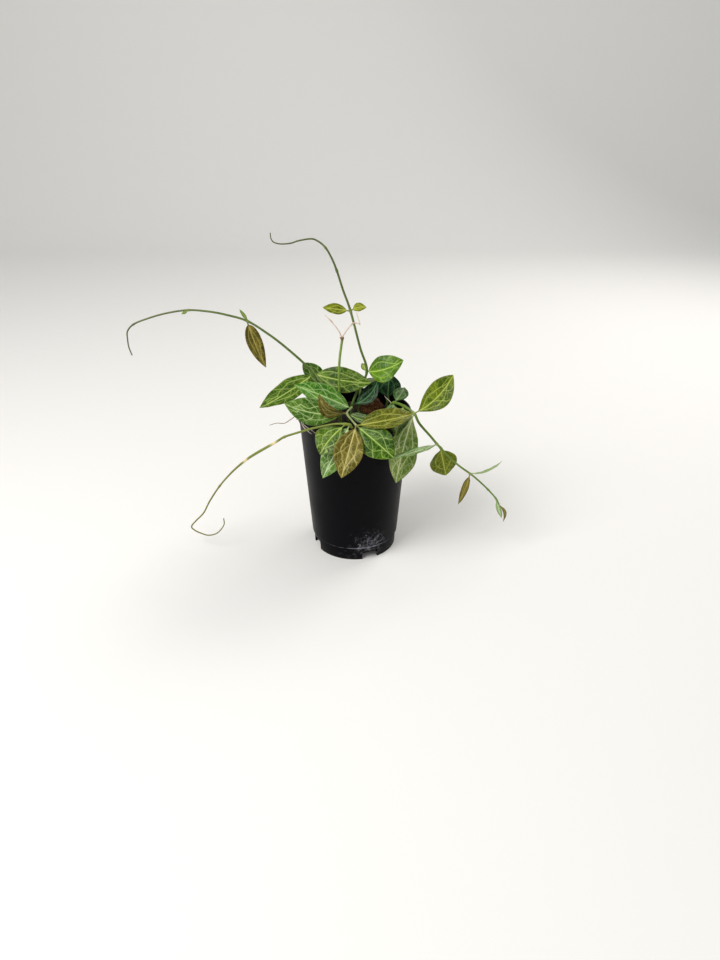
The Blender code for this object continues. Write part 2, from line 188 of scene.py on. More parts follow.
def new_group(name, **inputs):
    """A Geometry Nodes group with those named inputs, as (group, its input node, its output node)."""
    group = bpy.data.node_groups.new(name, "GeometryNodeTree")
    group.interface.new_socket("Geometry", in_out="INPUT", socket_type="NodeSocketGeometry")
    for label, kind in inputs.items():
        group.interface.new_socket(label.replace("_", " "), in_out="INPUT", socket_type="NodeSocket" + kind)
    group.interface.new_socket("Geometry", in_out="OUTPUT", socket_type="NodeSocketGeometry")
    return group, group.nodes.new("NodeGroupInput"), group.nodes.new("NodeGroupOutput")


def grow(obj, group, **values):
    """Runs the group on the object and keeps the result as its plain mesh, with no modifier left."""
    modifier = obj.modifiers.new(group.name, "NODES")
    modifier.node_group = group
    for socket in group.interface.items_tree:
        label = socket.name.replace(" ", "_")
        if socket.in_out == "INPUT" and label in values:
            modifier[socket.identifier] = values[label]
    graph = bpy.context.evaluated_depsgraph_get()
    shape = obj.evaluated_get(graph)
    grown = bpy.data.meshes.new_from_object(shape, preserve_all_data_layers=True, depsgraph=graph)
    obj.modifiers.remove(modifier)
    obj.data = grown
    return obj


def new_piece(name, mesh):
    """An object at the origin that shows the mesh."""
    obj = bpy.data.objects.new(name, mesh)
    bpy.context.scene.collection.objects.link(obj)
    return obj


def declare(obj, slot, *nodes):
    """Seats a finished piece in the frame: it rides on the one body, and may stand for CAD nodes."""
    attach(obj, "root")
    if nodes:
        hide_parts(*nodes)


# %% [markdown]
# ## The stage
#
# A plain pale sheet that curves up behind the plant, as in a small studio. It isn't part of the object, so
# it is left out of the frame.

# %% Floor and backdrop
FLOOR_FRONT, FLOOR_BACK, BEND = -2.5, 1.3, 0.5
SHEET_SIDE, SHEET_TOP = 3, 3.0
section = [(FLOOR_FRONT, 0.0), (FLOOR_BACK, 0.0)]
for degrees in range(5, 91, 5):
    angle = math.radians(degrees)
    section.append((FLOOR_BACK + BEND * math.sin(angle), BEND - BEND * math.cos(angle)))
section.append((FLOOR_BACK + BEND, SHEET_TOP))
sheet = bmesh.new()
rows = [[sheet.verts.new((x, y, z)) for x in (-SHEET_SIDE, SHEET_SIDE)] for y, z in section]
for front, behind in zip(rows, rows[1:]):
    sheet.faces.new((front[0], front[1], behind[1], behind[0]))
stage_mesh = bpy.data.meshes.new("stage")
sheet.to_mesh(stage_mesh)
sheet.free()
stage_mesh.shade_smooth()
stage = new_piece("stage", stage_mesh)
paper, tree, shader = new_material("pale_paper_sheet", 0.75)
shader.inputs["Base Color"].default_value = linear("#e9e8e6")
stage.data.materials.append(paper)
print("stage:", len(stage_mesh.polygons), "faces")

# %% [markdown]
# ## The plant in numbers
#
# Each stem is a row of points that it grows through. Each leaf is one row too: the stem and the point it
# sits on, its tip, its width, the way its upper side faces, how far its midrib bows, how far it sweeps
# sideways, how much it folds along the midrib, where it is widest, and its colour. The frame's solids were
# made from the same rows, so each leaf here lands in the place of its solid.

# %% Stems
STEMS = {
    "back_left_vine": (1.2, 0.5, [
        (-20, 10, 122.6), (-29, 13, 145), (-36, 14, 161), (-44, 12, 172), (-60, 10, 188), (-73, 9, 199),
        (-89, 8, 210), (-105, 8, 215), (-120, 8, 218), (-138, 9, 219), (-157, 10, 216), (-174, 11, 211),
        (-186, 12, 206), (-192, 12, 200), (-193, 12, 193), (-193, 12, 186), (-191, 11, 179),
    ]),
    "tall_vine": (1.2, 0.4, [
        (-5, 1, 122.6), (-2, 4, 136), (3, 8, 148), (11, 10, 165), (5, 12, 186), (-3, 14, 217),
        (-9, 15, 234),
        (-14, 15, 250), (-18, 15, 260), (-22.8, 14, 268.5), (-28.4, 13, 273.5), (-34, 12, 275.6),
        (-43.8, 10, 274.5), (-50, 9, 272.8), (-57.5, 7, 272.6), (-62.8, 5, 274.2), (-64.8, 3, 277.5),
        (-65, 2, 282),
    ]),
    "flower_stalk": (1.0, 0.9, [
        (-12, -2, 122.6), (-13, -0.6, 140), (-13, -0.6, 152), (-13, -1, 167), (-12, -1, 182),
        (-10, -1, 196),
        (-10, -1, 199),
    ]),
    "front_stem": (0.9, 0.8, [
        (-5, -3, 122.6), (-2, -9, 138), (-3, -16, 141), (-6, -26, 141), (-2, -36, 139.5), (2, -45, 138.5),
    ]),
    "low_left_vine": (1.1, 0.5, [
        (-1.5, -46.5, 139.3), (-3.5, -47, 140), (-7, -47, 140.8), (-15, -45.5, 140.2), (-27, -43.5, 137),
        (-36, -40.5, 133.5), (-47, -36, 128), (-59, -32, 122), (-68, -29, 115), (-85, -25, 103),
        (-96, -22, 94), (-109, -19, 81),
        (-122, -16, 65), (-133, -14, 48), (-140, -13, 35), (-148, -12, 26), (-153, -13, 20),
        (-150, -15, 17),
        (-144, -17, 15), (-137, -19, 14), (-130, -20, 16), (-125, -20, 20), (-121, -19, 26),
        (-121, -18, 32),
    ]),
    "right_vine": (1.2, 0.6, [
        (26, 8, 122.6), (31, 8, 132), (35, 4, 138), (43, -6, 139), (51.5, -15, 136), (56, -17.5, 128),
        (66, -19, 116.5), (72, -19, 109), (75.5, -19.2, 105.2), (82, -20, 98), (92, -20, 88.5),
        (103, -20, 80), (111, -20, 73),
        (120.5, -20, 63.5), (128.5, -20, 54), (131.5, -20, 48),
    ]),
    "back_stem": (1.2, 0.8, [
        (4, 22, 122.6), (5, 34, 139), (2, 49, 141), (-3, 60, 129), (-6, 65, 112),
    ]),
    "back_left_stem": (1.1, 0.8, [
        (-17, 22, 122.6), (-24, 32, 141), (-33, 44, 143), (-41, 54, 130), (-45, 59, 114),
    ]),
    "back_right_stem": (1.1, 0.8, [
        (28, 19, 122.6), (30, 23, 133), (31, 32, 140), (33, 42, 143), (37, 52, 134), (38, 58, 118),
    ]),
}
THREADS = {
    "dried_flower_left": (0.35, [(-10.5, -1, 199.5), (-13, -1, 205), (-19, -1, 213), (-24, -1, 218)]),
    "dried_flower_right": (0.35, [
        (-9.5, -1, 199.5), (-6, -1, 205), (-1, 1, 210), (3, 2, 210), (5, 3, 209), (3, 4, 215), (2, 4, 219),
    ]),
}
print(len(STEMS), "stems,", len(THREADS), "dry threads")

# %% Leaves
# The dark colour is painted shade: leaves deep inside the mound get a darker copy of the green.
LEAVES = {
    "leaf_far_left": (
        "back_left_vine", 2, (-81, -14, 141), 23, (-0.2, -0.6, 0.8), 0, -2, 10, 0.42, "olive"),
    "leaf_left_folded": (
        "back_left_vine", 1, (-45, 17, 170.3), 16, (-0.2, -0.9, 0.3), -4, 3, 6, 0.55, "dark"),
    "leaf_top_middle": (
        "back_left_vine", 2, (14.7, 5.0, 156.3), 23.5, (0.0, -0.8, 0.6), 0, 2, 6, 0.45, "olive"),
    "leaf_left_vine_hanging": (
        "back_left_vine", 6, (-75, 0, 172), 13.5, (0.3, -0.9, 0.3), 0, 1, 12, 0.38, "bronze"),
    "leaf_left_vine_sliver": (
        "back_left_vine", 6, (-95, 8, 220), 3, (0.3, -0.9, 0.3), 0, 0, 10, 0.4, "green"),
    "leaf_left_vine_bud": (
        "back_left_vine", 9, (-143, 6, 216.5), 2.5, (0.3, -0.9, 0.3), 0, 0, 10, 0.4, "green"),
    "leaf_upper_left": (
        "front_stem", 1, (-50.5, -8, 159.5), 25, (0.1, -0.5, 0.9), 2, -1, 8, 0.45, "green"),
    "leaf_lower_left": (
        "front_stem", 3, (-58, -26, 150), 26, (0.0, -0.6, 0.8), -2, -3.5, 8, 0.53, "green"),
    "leaf_top_right": (
        "tall_vine", 3, (42, 2, 178), 25, (0.1, -0.7, 0.7), 2, 4, 8, 0.45, "green"),
    "leaf_behind_small": (
        "tall_vine", 3, (6.5, 21, 168.5), 5.5, (0.0, -0.8, 0.5), 0, 0, 10, 0.38, "dark"),
    "leaf_inner_narrow": (
        "tall_vine", 1, (20.5, 12, 156.2), 15, (-0.3, -0.8, 0.5), 0, 4.5, 12, 0.5, "dark"),
    "leaf_behind_middle": (
        "tall_vine", 2, (-9, 14, 158), 12, (0.0, -0.8, 0.5), 0, 0, 8, 0.45, "dark"),
    "leaf_tall_vine_left": (
        "tall_vine", 5, (-26, 10, 221), 10, (0.0, -0.75, 0.65), 0, 0, 10, 0.45, "green"),
    "leaf_tall_vine_right": (
        "tall_vine", 5, (10.5, 16, 219.5), 8, (0.0, -0.75, 0.65), 0, -1.5, 10, 0.45, "green"),
    "leaf_inner_dark": (
        "back_right_stem", 1, (31.5, 31, 155.3), 23, (-0.1, -0.95, 0.2), 0, 0, 8, 0.45, "dark"),
    "leaf_round_back": (
        "right_vine", 2, (45, 20, 146), 14, (-0.2, -0.7, 0.65), 1, 1, 8, 0.45, "dark"),
    "leaf_small_right": (
        "right_vine", 2, (31, -8, 130), 10, (0.0, -0.7, 0.7), 0, 0, 8, 0.42, "dark"),
    "leaf_right_upright": (
        "right_vine", 4, (83, -13, 170.5), 23, (-0.3, -0.8, 0.4), 0, 4, 10, 0.55, "green"),
    "leaf_right_hanging": (
        "right_vine", 4, (35.5, -50, 87.5), 30, (0.5, -0.8, 0.3), 5, 5, 6, 0.56, "pale"),
    "leaf_vine_edge_on": (
        "right_vine", 7, (29.7, -66, 118.5), 12, (0.0, 0.1, 0.98), 0, -1.5, 10, 0.5, "pale"),
    "leaf_vine_round": (
        "right_vine", 8, (82.5, -13, 74.5), 25, (0.0, -0.85, 0.5), 0, 0, 8, 0.42, "olive"),
    "leaf_vine_bronze": (
        "right_vine", 11, (93, -28, 53), 7, (-0.5, -0.7, 0.4), 0, -1, 20, 0.4, "bronze"),
    "leaf_vine_thin": (
        "right_vine", 11, (132, -12, 89), 8, (0.0, 0.5, 0.87), -3.5, 0, 15, 0.4, "pale"),
    "leaf_vine_tip_inner": (
        "right_vine", 14, (134.5, -24, 36), 5, (-0.5, -0.8, 0.0), 0, 0, 10, 0.45, "pale"),
    "leaf_vine_tip_outer": (
        "right_vine", 15, (136, -24, 32), 4, (0.5, -0.8, 0.2), 2, -3, 10, 0.45, "bronze"),
    "leaf_front_olive": (
        "front_stem", 5, (49.5, -28, 142), 23, (0.0, -0.4, 0.92), 4.2, 5, 14, 0.45, "bronze"),
    "leaf_front_right": (
        "front_stem", 5, (32.5, -66, 119.5), 27, (0.1, -0.85, 0.5), 1.9, 0, 6, 0.5, "green"),
    "leaf_front_bronze": (
        "front_stem", 5, (-10, -76, 106.5), 24, (0.0, -0.87, 0.49), 5, 0, 8, 0.5, "bronze"),
    "leaf_front_left": (
        "low_left_vine", 2, (-27.7, -62.0, 120.9), 25, (-0.2, -0.8, 0.6), 1, 1.5, 6, 0.55, "green"),
    "leaf_front_under": (
        "low_left_vine", 1, (-26, -58, 96.5), 22, (-0.1, -0.9, 0.4), 3.6, 0, 6, 0.42, "pale"),
    "leaf_young_folded": (
        "front_stem", 3, (-28.5, -36, 163), 14, (-0.5, -0.7, 0.5), 0, -7, 35, 0.45, "bronze"),
    "leaf_middle_green": (
        "front_stem", 3, (26, -15, 129), 17, (0.0, -0.3, 0.95), -3, 1, 8, 0.45, "green"),
    "leaf_behind_right": (
        "right_vine", 3, (34, -50, 131), 16, (0.0, -0.3, 0.95), 1, 0, 6, 0.45, "green"),
    "leaf_back_1": (
        "back_stem", 2, (-20, 62, 124), 22, (-0.2, 0.6, 0.7), 3, 0, 8, 0.42, "green"),
    "leaf_back_2": (
        "back_stem", 2, (25, 66, 128), 24, (0.2, 0.6, 0.7), 3, 0, 8, 0.42, "green"),
    "leaf_back_3": (
        "back_stem", 4, (-22, 75, 82), 22, (-0.3, 0.9, 0.3), 3, 0, 8, 0.42, "olive"),
    "leaf_back_4": (
        "back_stem", 3, (13, 78, 92), 22, (0.3, 0.9, 0.3), 3, 0, 8, 0.42, "green"),
    "leaf_back_5": (
        "back_left_stem", 2, (-62, 32, 134), 22, (-0.5, 0.2, 0.8), 3, 0, 8, 0.42, "green"),
    "leaf_back_6": (
        "back_left_stem", 4, (-47, 68, 84), 20, (-0.4, 0.9, 0.3), 2, 0, 8, 0.42, "bronze"),
    "leaf_back_7": (
        "back_left_stem", 3, (-22, 77, 99), 18, (0.0, 0.9, 0.3), 2, 0, 8, 0.42, "green"),
    "leaf_back_8": (
        "back_right_stem", 5, (25, 74, 88), 18, (-0.1, 0.9, 0.3), 2, 0, 8, 0.42, "olive"),
    "leaf_back_9": (
        "back_right_stem", 5, (54, 63, 92), 17, (0.5, 0.9, 0.3), 2, 0, 8, 0.42, "green"),
}
print(len(LEAVES), "leaves")

# %% [markdown]
# ## Stems
#
# A living stem is a tube that gets thinner towards its tip, and swells a little at each node where leaves
# sit. A curve through the points gives the path. Geometry Nodes then sweep a round section along it, because
# the same group serves every stem, thread and root: only the path and the thickness at each point differ.
# Two numbers ride along for the material: how far along the stem a point is, and how pale it is.

# %% Path of a stem
PATH_STEPS = 7


def smooth_route(points):
    """Points along a Catmull-Rom curve through the given ones, with PATH_STEPS steps a span."""
    known = [Vector(p) for p in points]
    ends = [2 * known[0] - known[1], *known, 2 * known[-1] - known[-2]]
    route = []
    for a, b, c, d in zip(ends, ends[1:], ends[2:], ends[3:]):
        for k in range(PATH_STEPS):
            t = k / PATH_STEPS
            route.append(0.5 * (2 * b + (c - a) * t + (2 * a - 5 * b + 4 * c - d) * t * t
                                + (3 * b - a - 3 * c + d) * t * t * t))
    return [*route, known[-1]]


def path_object(name, route, radii, pale):
    """A chain of edges in the frame that carries each point's radius and paleness."""
    mesh = bpy.data.meshes.new(name)
    mesh.from_pydata([place(p) for p in route], [(k, k + 1) for k in range(len(route) - 1)], [])
    mesh.attributes.new("radius", "FLOAT", "POINT").data.foreach_set("value", [r * MM for r in radii])
    mesh.attributes.new("pale", "FLOAT", "POINT").data.foreach_set("value", pale)
    return new_piece(name, mesh)


# %% Sweep a round section along a path
sweep_group, given, end = new_group("Stem", Sides="Int", Finish="Material")
g = sweep_group
path = add(g, "GeometryNodeMeshToCurve", given.outputs["Geometry"])
far = add(g, "GeometryNodeSplineParameter").outputs["Factor"]
path = add(g, STORE, path, into={"Name": "far", "Value": far})
ring = add(g, "GeometryNodeCurvePrimitiveCircle", given.outputs["Sides"], 1.0)
thickness = add(g, "GeometryNodeInputNamedAttribute", "radius", data_type="FLOAT")
tube = add(g, "GeometryNodeCurveToMesh", path, ring, thickness, True)
tube = add(g, "GeometryNodeSetShadeSmooth", tube)
tube = add(g, "GeometryNodeRealizeInstances", tube)
tube = add(g, "GeometryNodeSetMaterial", tube, into={"Material": given.outputs["Finish"]})
fill(g, end.inputs[0], tube)
print("stem group:", len(g.nodes), "nodes")


# %% [markdown]
# ### What a stem looks like
#
# A living stem is smooth and waxy, and goes from one green at its foot to another at its tip. Darker patches
# of several millimetres lie over that, and its nodes are paler. The wax is not quite even: real grain is
# finer than a tenth of a millimetre, so it is drawn about a millimetre wide, which is as fine as the picture
# can show. Dry threads and roots take the same finish, rougher and without the green.

# %% Stem material
STEM_GRAIN, STEM_PATCHES = 0.9 * PER_MM, 0.12 * PER_MM
STEM_SHADE = "#8a8f5a"


def stem_finish(name, base_hex, tip_hex, pale_hex, roughness):
    """A stem from base to tip colour, with darker patches, fine grain and pale nodes."""
    material, tree, shader = new_material(name, roughness)
    far, pale = (add(tree, STORED, attribute_name=label).outputs["Fac"] for label in ("far", "pale"))
    where = add(tree, "ShaderNodeTexCoord").outputs["Object"]
    grain = add(tree, NOISE, where, into={"Scale": STEM_GRAIN, "Detail": 2.0})
    patches = add(tree, NOISE, where, into={"Scale": STEM_PATCHES, "Detail": 3.0})
    colour = add(tree, MIX, far, linear(base_hex), linear(tip_hex), data_type="RGBA")
    darker = add(tree, RANGE, patches, 0.35, 0.7, 0.0, 0.35)
    colour = add(tree, MIX, darker, colour, linear(STEM_SHADE), data_type="RGBA", blend_type="MULTIPLY")
    colour = add(tree, MIX, pale, colour, linear(pale_hex), data_type="RGBA")
    fill(tree, shader.inputs["Base Color"], colour)
    bump = add(tree, "ShaderNodeBump", into={"Strength": 0.4, "Distance": 0.2 * MM, "Height": grain})
    fill(tree, shader.inputs["Normal"], bump)
    shader.inputs["Subsurface Weight"].default_value = 0.1
    shader.inputs["Subsurface Radius"].default_value = (1 * MM, 2 * MM, 0.5 * MM)
    return material


STEM_FINISHES = {
    "old": stem_finish("waxy_stem_olive", "#5c7a2a", "#5a6238", "#a9b06a", 0.4),
    "young": stem_finish("waxy_stem_green", "#76862c", "#757632", "#f0dca4", 0.4),
    "bract": stem_finish("waxy_stem_pale", "#8a9c5e", "#9aa870", "#c8cc9a", 0.45),
    "right": stem_finish("waxy_stem_leaf_green", "#64812a", "#6d8a34", "#b4bc7c", 0.4),
    "stalk": stem_finish("waxy_stem_bright", "#8aa83e", "#7f9a44", "#7a5a3e", 0.4),
    "dry": stem_finish("dry_thread_pink", "#dcc4b4", "#e8d6c6", "#b08a74", 0.85),
    "root": stem_finish("dry_root_white", "#cfc3b0", "#b8a48c", "#f0e8dc", 0.85),
    "brown": stem_finish("dry_root_brown", "#7a5038", "#5e3c28", "#7a5038", 0.85),
}
print("stem finishes:", list(STEM_FINISHES))

# %% [markdown]
# ### Growing the stems
#
# The nodes swell where the table seats a leaf. The low vine is thicker half way down, and two of its nodes
# have dried to a cream colour. The flower stalk ends in a brown knob.

# %% Stems in place
STEM_SIDES, THREAD_SIDES = 14, 8
BURIED = Vector((0, 0, 2.0))
NODE_SWELL, NODE_LENGTH = 0.4, 1.5
KNOB_SWELL, KNOB_LENGTH = 1.8, 1.8
THICK_PART, THICK_SWELL, THICK_LENGTH = (-84, -26, 103), 1.1, 26
STEM_THICKER = {"low_left_vine": 0.95, "flower_stalk": 1.15, "right_vine": 1.1}
STEM_LOOK = {"low_left_vine": "young", "flower_stalk": "stalk", "front_stem": "bract", "right_vine": "right"}
PALE_SPOTS = {
    "low_left_vine": [((-68.5, -29, 115), 3.2, 0.95), ((-95, -22, 94.5), 2.6, 0.95)],
    "flower_stalk": [((-10, -1, 199), 2.6, 1.0)],
    "front_stem": [((2, -45, 138.5), 2.5, 0.5)],
    "right_vine": [((51.5, -15, 136), 2.2, 0.35), ((72, -19, 109), 2.0, 0.4), ((103, -20, 80), 2.0, 0.4)],
    "tall_vine": [((-3, 14, 217), 1.5, 0.3), ((-24, 14, 269), 1.3, 0.3)],
    "back_left_vine": [((-89, 8, 210), 1.6, 0.3), ((-138, 9, 219), 1.4, 0.3)],
}
EXTRA_NODES = {
    "low_left_vine": [12, 7, 9], "flower_stalk": [6], "tall_vine": [9, 7], "back_left_vine": [12],
    "right_vine": [13],
}


def near(point, centre, reach):
    """1 at the centre, falling off smoothly to 0 beyond the reach."""
    return math.exp(-((Vector(point) - Vector(centre)).length / reach) ** 2)


for stem, (root_radius, tip_radius, points) in STEMS.items():
    route = smooth_route([Vector(points[0]) - BURIED, *points[1:]])
    knots = [points[row[1]] for row in LEAVES.values() if row[0] == stem]
    knots += [points[k] for k in EXTRA_NODES.get(stem, [])]
    radii, pale = [], []
    for k, p in enumerate(route):
        plain = root_radius + (tip_radius - root_radius) * k / (len(route) - 1)
        swell = max([near(p, knot, NODE_LENGTH) for knot in knots], default=0)
        if stem == "flower_stalk":
            swell = max(swell, KNOB_SWELL * near(p, points[-1], KNOB_LENGTH))
        if stem == "low_left_vine":
            swell = max(swell, THICK_SWELL * near(p, THICK_PART, THICK_LENGTH))
        radii.append(plain * (1 + NODE_SWELL * swell))
        spots = [share * near(p, at, reach) for at, reach, share in PALE_SPOTS.get(stem, [])]
        pale.append(max(spots, default=0.0))
    radii = [r * STEM_THICKER.get(stem, 1) for r in radii]
    obj = path_object(stem + "_look", route, radii, pale)
    grow(obj, sweep_group, Sides=STEM_SIDES, Finish=STEM_FINISHES[STEM_LOOK.get(stem, "old")])
    declare(obj, "stem", stem)
grown_stems = [bpy.data.objects[stem + "_look"] for stem in STEMS]
print("stems grown:", sum(len(obj.data.polygons) for obj in grown_stems), "faces")

# %% [markdown]
# ### Dry threads and roots
#
# Two spent flower threads stand on the knob, not much thicker than sewing thread, each with one dry scale
# that shows as a thicker, darker place. A few pale roots cross the rim at the front left, and a brown one
# sticks out. Two more rise from the mix. The same group sweeps them all.

# %% Threads in place
IN_THE_KNOB = Vector((-10, -1, 198.8))
THREAD_THICKER, THREAD_TAPER, ROOT_TAPER = 1.5, 0.35, 0.5
SCALE_SWELL, SCALE_LENGTH, SCALE_DARKER = 0.7, 1.6, 0.5
for thread, (radius, points) in THREADS.items():
    route = [IN_THE_KNOB, *smooth_route(points)]
    scales = [near(p, points[2], SCALE_LENGTH) for p in route]
    radii = [THREAD_THICKER * radius * (1 + SCALE_SWELL * s) * (1 - THREAD_TAPER * k / len(route))
             for k, s in enumerate(scales)]
    obj = path_object(thread + "_look", route, radii, [SCALE_DARKER * s for s in scales])
    grow(obj, sweep_group, Sides=THREAD_SIDES, Finish=STEM_FINISHES["dry"])
    declare(obj, "thread", thread)

ROOTS = {
    "rim_root_long": (0.5, "root", [
        (-38, -17, 123), (-43, -19, 131), (-46.4, -20.8, 134.8), (-47.6, -18, 133.2), (-49, -14.5, 130),
        (-50.6, -10, 128.5)]),
    "rim_root_low": (0.55, "root", [
        (-37, -20, 123), (-41.5, -23.5, 131.5), (-43.9, -25.8, 135), (-44.3, -27.2, 133),
        (-42.4, -30.6, 130.5), (-39.4, -34.2, 129), (-35.6, -37.4, 127.4)]),
    "rim_root_thin": (0.4, "root", [
        (-36, -22, 123), (-40, -26, 132), (-42.1, -28.2, 134.9), (-42.6, -29.8, 133), (-39.6, -33.6, 131.8),
        (-35.4, -37.6, 131), (-32, -40.4, 129.5)]),
    "rim_root_brown": (0.45, "brown", [
        (-40, -13, 123), (-46, -14.5, 131.5), (-48.6, -15, 134.8), (-53, -15.5, 132), (-60, -16, 127.5),
        (-67, -16, 127.5), (-73, -17, 126)]),
    "mix_root_left": (0.35, "root", [(-24, -26, 122), (-20, -31, 126), (-13, -34, 125), (-8, -33, 122)]),
    "mix_root_right": (0.45, "root", [
        (33, 10, 122), (33.5, 7, 131), (32, 6, 137.5), (28, 8, 141), (26.5, 8, 143)]),
}
ROOT_PALE = 0.3
for name, (radius, look, points) in ROOTS.items():
    route = smooth_route(points)
    radii = [radius * (1 - ROOT_TAPER * k / len(route)) for k in range(len(route))]
    obj = path_object(name, route, radii, [ROOT_PALE] * len(route))
    grow(obj, sweep_group, Sides=THREAD_SIDES, Finish=STEM_FINISHES[look])
    declare(obj, "thread")
print("threads and roots:", len(THREADS) + len(ROOTS))

# %% [markdown]
# ## Leaves
#
# The leaf is the main shape here, and it follows a rule, so Geometry Nodes grow it. A closed tube is pressed
# flat: going along it is going from stalk to tip, and going round it is going across the upper side and back
# across the lower one. The rule then bends it along the midrib, widens it as a leaf widens, folds it, and
# sinks the midrib and the two strong side veins into it. One group with named inputs makes every leaf.
#
# Five things are stored on the mesh for the material: how far along the blade a point is, how far across,
# how many millimetres half the blade is there, which side is the upper one, and a flat map of the blade in
# millimetres.

# %% Leaf group: the tube and its two directions
LEAF_AROUND, LEAF_ALONG = 56, 46
TIP_POWER = 0.95
STALK_RADIUS = 0.6 * MM

leaf_group, given, end = new_group(
    "Leaf", Root="Vector", Tip="Vector", Face="Vector", Width="Float", Bow="Float", Sweep="Float",
    Fold="Float", Widest="Float", Stalk="Float", Thickness="Float", Seed="Float", Finish="Material")
g = leaf_group
rod = add(g, "GeometryNodeMeshCylinder", LEAF_AROUND, LEAF_ALONG, 1, 1.0, 1.0)
rod_x, rod_y, rod_z = add(g, "ShaderNodeSeparateXYZ", add(g, "GeometryNodeInputPosition")).outputs
turn = add(g, MATH, add(g, MATH, rod_z, 0.5, operation="ADD"), math.pi, operation="MULTIPLY")
share = add(g, MATH, add(g, MATH, turn, operation="COSINE"), -0.5, 0.5, operation="MULTIPLY_ADD")
across = add(g, MATH, add(g, MATH, rod_x, operation="ARCCOSINE"), 2 / math.pi, -1.0, operation="MULTIPLY_ADD")
across_size = add(g, MATH, across, operation="ABSOLUTE")
upper = add(g, MATH, rod_y, operation="SIGN")
print("a leaf's tube:", LEAF_AROUND, "round by", LEAF_ALONG, "along")

# %% Leaf group: the three directions of the blade
chord = add(g, VECTOR, given.outputs["Tip"], given.outputs["Root"], operation="SUBTRACT")
length = add(g, VECTOR, chord, operation="LENGTH")
along = add(g, VECTOR, chord, operation="NORMALIZE")
face = given.outputs["Face"]
lean = add(g, VECTOR, face, along, operation="DOT_PRODUCT").outputs["Value"]
lean = add(g, VECTOR, along, into={"Scale": lean}, operation="SCALE")
normal = add(g, VECTOR, add(g, VECTOR, face, lean, operation="SUBTRACT"), operation="NORMALIZE")
side = add(g, VECTOR, along, normal, operation="CROSS_PRODUCT")

# %% [markdown]
# ### Width and thickness
#
# A blade's width rises from the stalk and falls to the tip. The product of two powers does both, peaks where
# the table says, and leaves a round base and a drawn-out tip. Thickness is that of a thick waxy leaf, about
# a millimetre, thinner at the edge and the tip. At the root end the tube keeps the stalk's radius.

# %% Leaf group: width and thickness
LONGEST_STALK, STALK_IN_BLADE = 0.2, 0.6
STALK_THINNER, FULL_BLADE = 0.45 * MM, 3 * MM
THICK_AT_BASE, THICK_AT_TIP = 0.5, 0.18
stalk = add(g, MATH, length, LONGEST_STALK, operation="MULTIPLY")
stalk = add(g, MATH, given.outputs["Stalk"], stalk, operation="MINIMUM")
stalk_share = add(g, MATH, stalk, length, operation="DIVIDE")
blade_start = add(g, MATH, stalk_share, STALK_IN_BLADE, operation="MULTIPLY")
blade = add(g, MATH, add(g, MATH, share, blade_start, operation="SUBTRACT"),
            add(g, MATH, 1.0, blade_start, operation="SUBTRACT"), operation="DIVIDE", use_clamp=True)
to_widest = given.outputs["Widest"]
from_widest = add(g, MATH, 1.0, to_widest, operation="SUBTRACT")
base_power = add(g, MATH, to_widest, from_widest, operation="DIVIDE")
base_power = add(g, MATH, base_power, TIP_POWER, operation="MULTIPLY")
swell = add(g, MATH, add(g, MATH, blade, to_widest, operation="DIVIDE"), base_power, operation="POWER")
taper = add(g, MATH, add(g, MATH, 1.0, blade, operation="SUBTRACT"), from_widest, operation="DIVIDE")
taper = add(g, MATH, taper, TIP_POWER, operation="POWER")
full_half = add(g, MATH, given.outputs["Width"], 0.5, operation="MULTIPLY")
outline = add(g, MATH, add(g, MATH, swell, taper, operation="MULTIPLY"), full_half, operation="MULTIPLY")
least = add(g, MATH, share, -STALK_THINNER, STALK_RADIUS, operation="MULTIPLY_ADD")
half_width = add(g, MATH, outline, least, operation="MAXIMUM")
on_blade = add(g, RANGE, half_width, STALK_RADIUS, FULL_BLADE, 0.0, 1.0)
stalk_left = add(g, MATH, 1.0, add(g, MATH, share, stalk_share, operation="DIVIDE"), operation="SUBTRACT")
stalk_thick = add(g, MATH, stalk_left, STALK_RADIUS, operation="MULTIPLY")
blade_thick = add(g, RANGE, blade, 0.6, 1.0, THICK_AT_BASE, THICK_AT_TIP)
blade_thick = add(g, MATH, blade_thick, given.outputs["Thickness"], operation="MULTIPLY")
half_thick = add(g, MATH, stalk_thick, blade_thick, operation="MAXIMUM")
across_squared = add(g, MATH, across, across, operation="MULTIPLY")
lens = add(g, MATH, add(g, MATH, 1.0, across_squared, operation="SUBTRACT"), operation="SQRT")
lens = add(g, MATH, add(g, MATH, lens, half_thick, operation="MULTIPLY"), upper, operation="MULTIPLY")

# %% [markdown]
# ### Relief
#
# The midrib lies in a shallow gutter. Two strong veins leave the base, run outwards to a little over half
# way to the edge, and come back to the midrib near the tip; they sink in as well. Between them the blade
# puckers in humps of about five millimetres, and its edge waves a little. All of it moves both sides of the
# leaf together, so the thickness stays.

# %% Leaf group: relief
SIDE_VEIN_REACH, SIDE_VEIN_END, SIDE_VEIN_SKEW = 0.56, 0.88, 0.75
GUTTER_DEPTH, MIDRIB_GUTTER, SIDE_GUTTER, SIDE_DEPTH = 0.45 * MM, 0.8 * MM, 0.7 * MM, 0.6
PUCKERS, PUCKER_HEIGHT = 0.19 * PER_MM, 1.1 * MM
EDGE_WAVES, WAVE_START, WAVE_HEIGHT = 15.0, 40.0, 0.045
vein_turn = add(g, MATH, blade, SIDE_VEIN_END, operation="DIVIDE", use_clamp=True)
vein_turn = add(g, MATH, vein_turn, SIDE_VEIN_SKEW, operation="POWER")
side_vein = add(g, MATH, add(g, MATH, vein_turn, math.pi, operation="MULTIPLY"), operation="SINE")
side_vein = add(g, MATH, side_vein, SIDE_VEIN_REACH, operation="MULTIPLY")
from_side = add(g, MATH, across_size, side_vein, operation="SUBTRACT")
dips = []
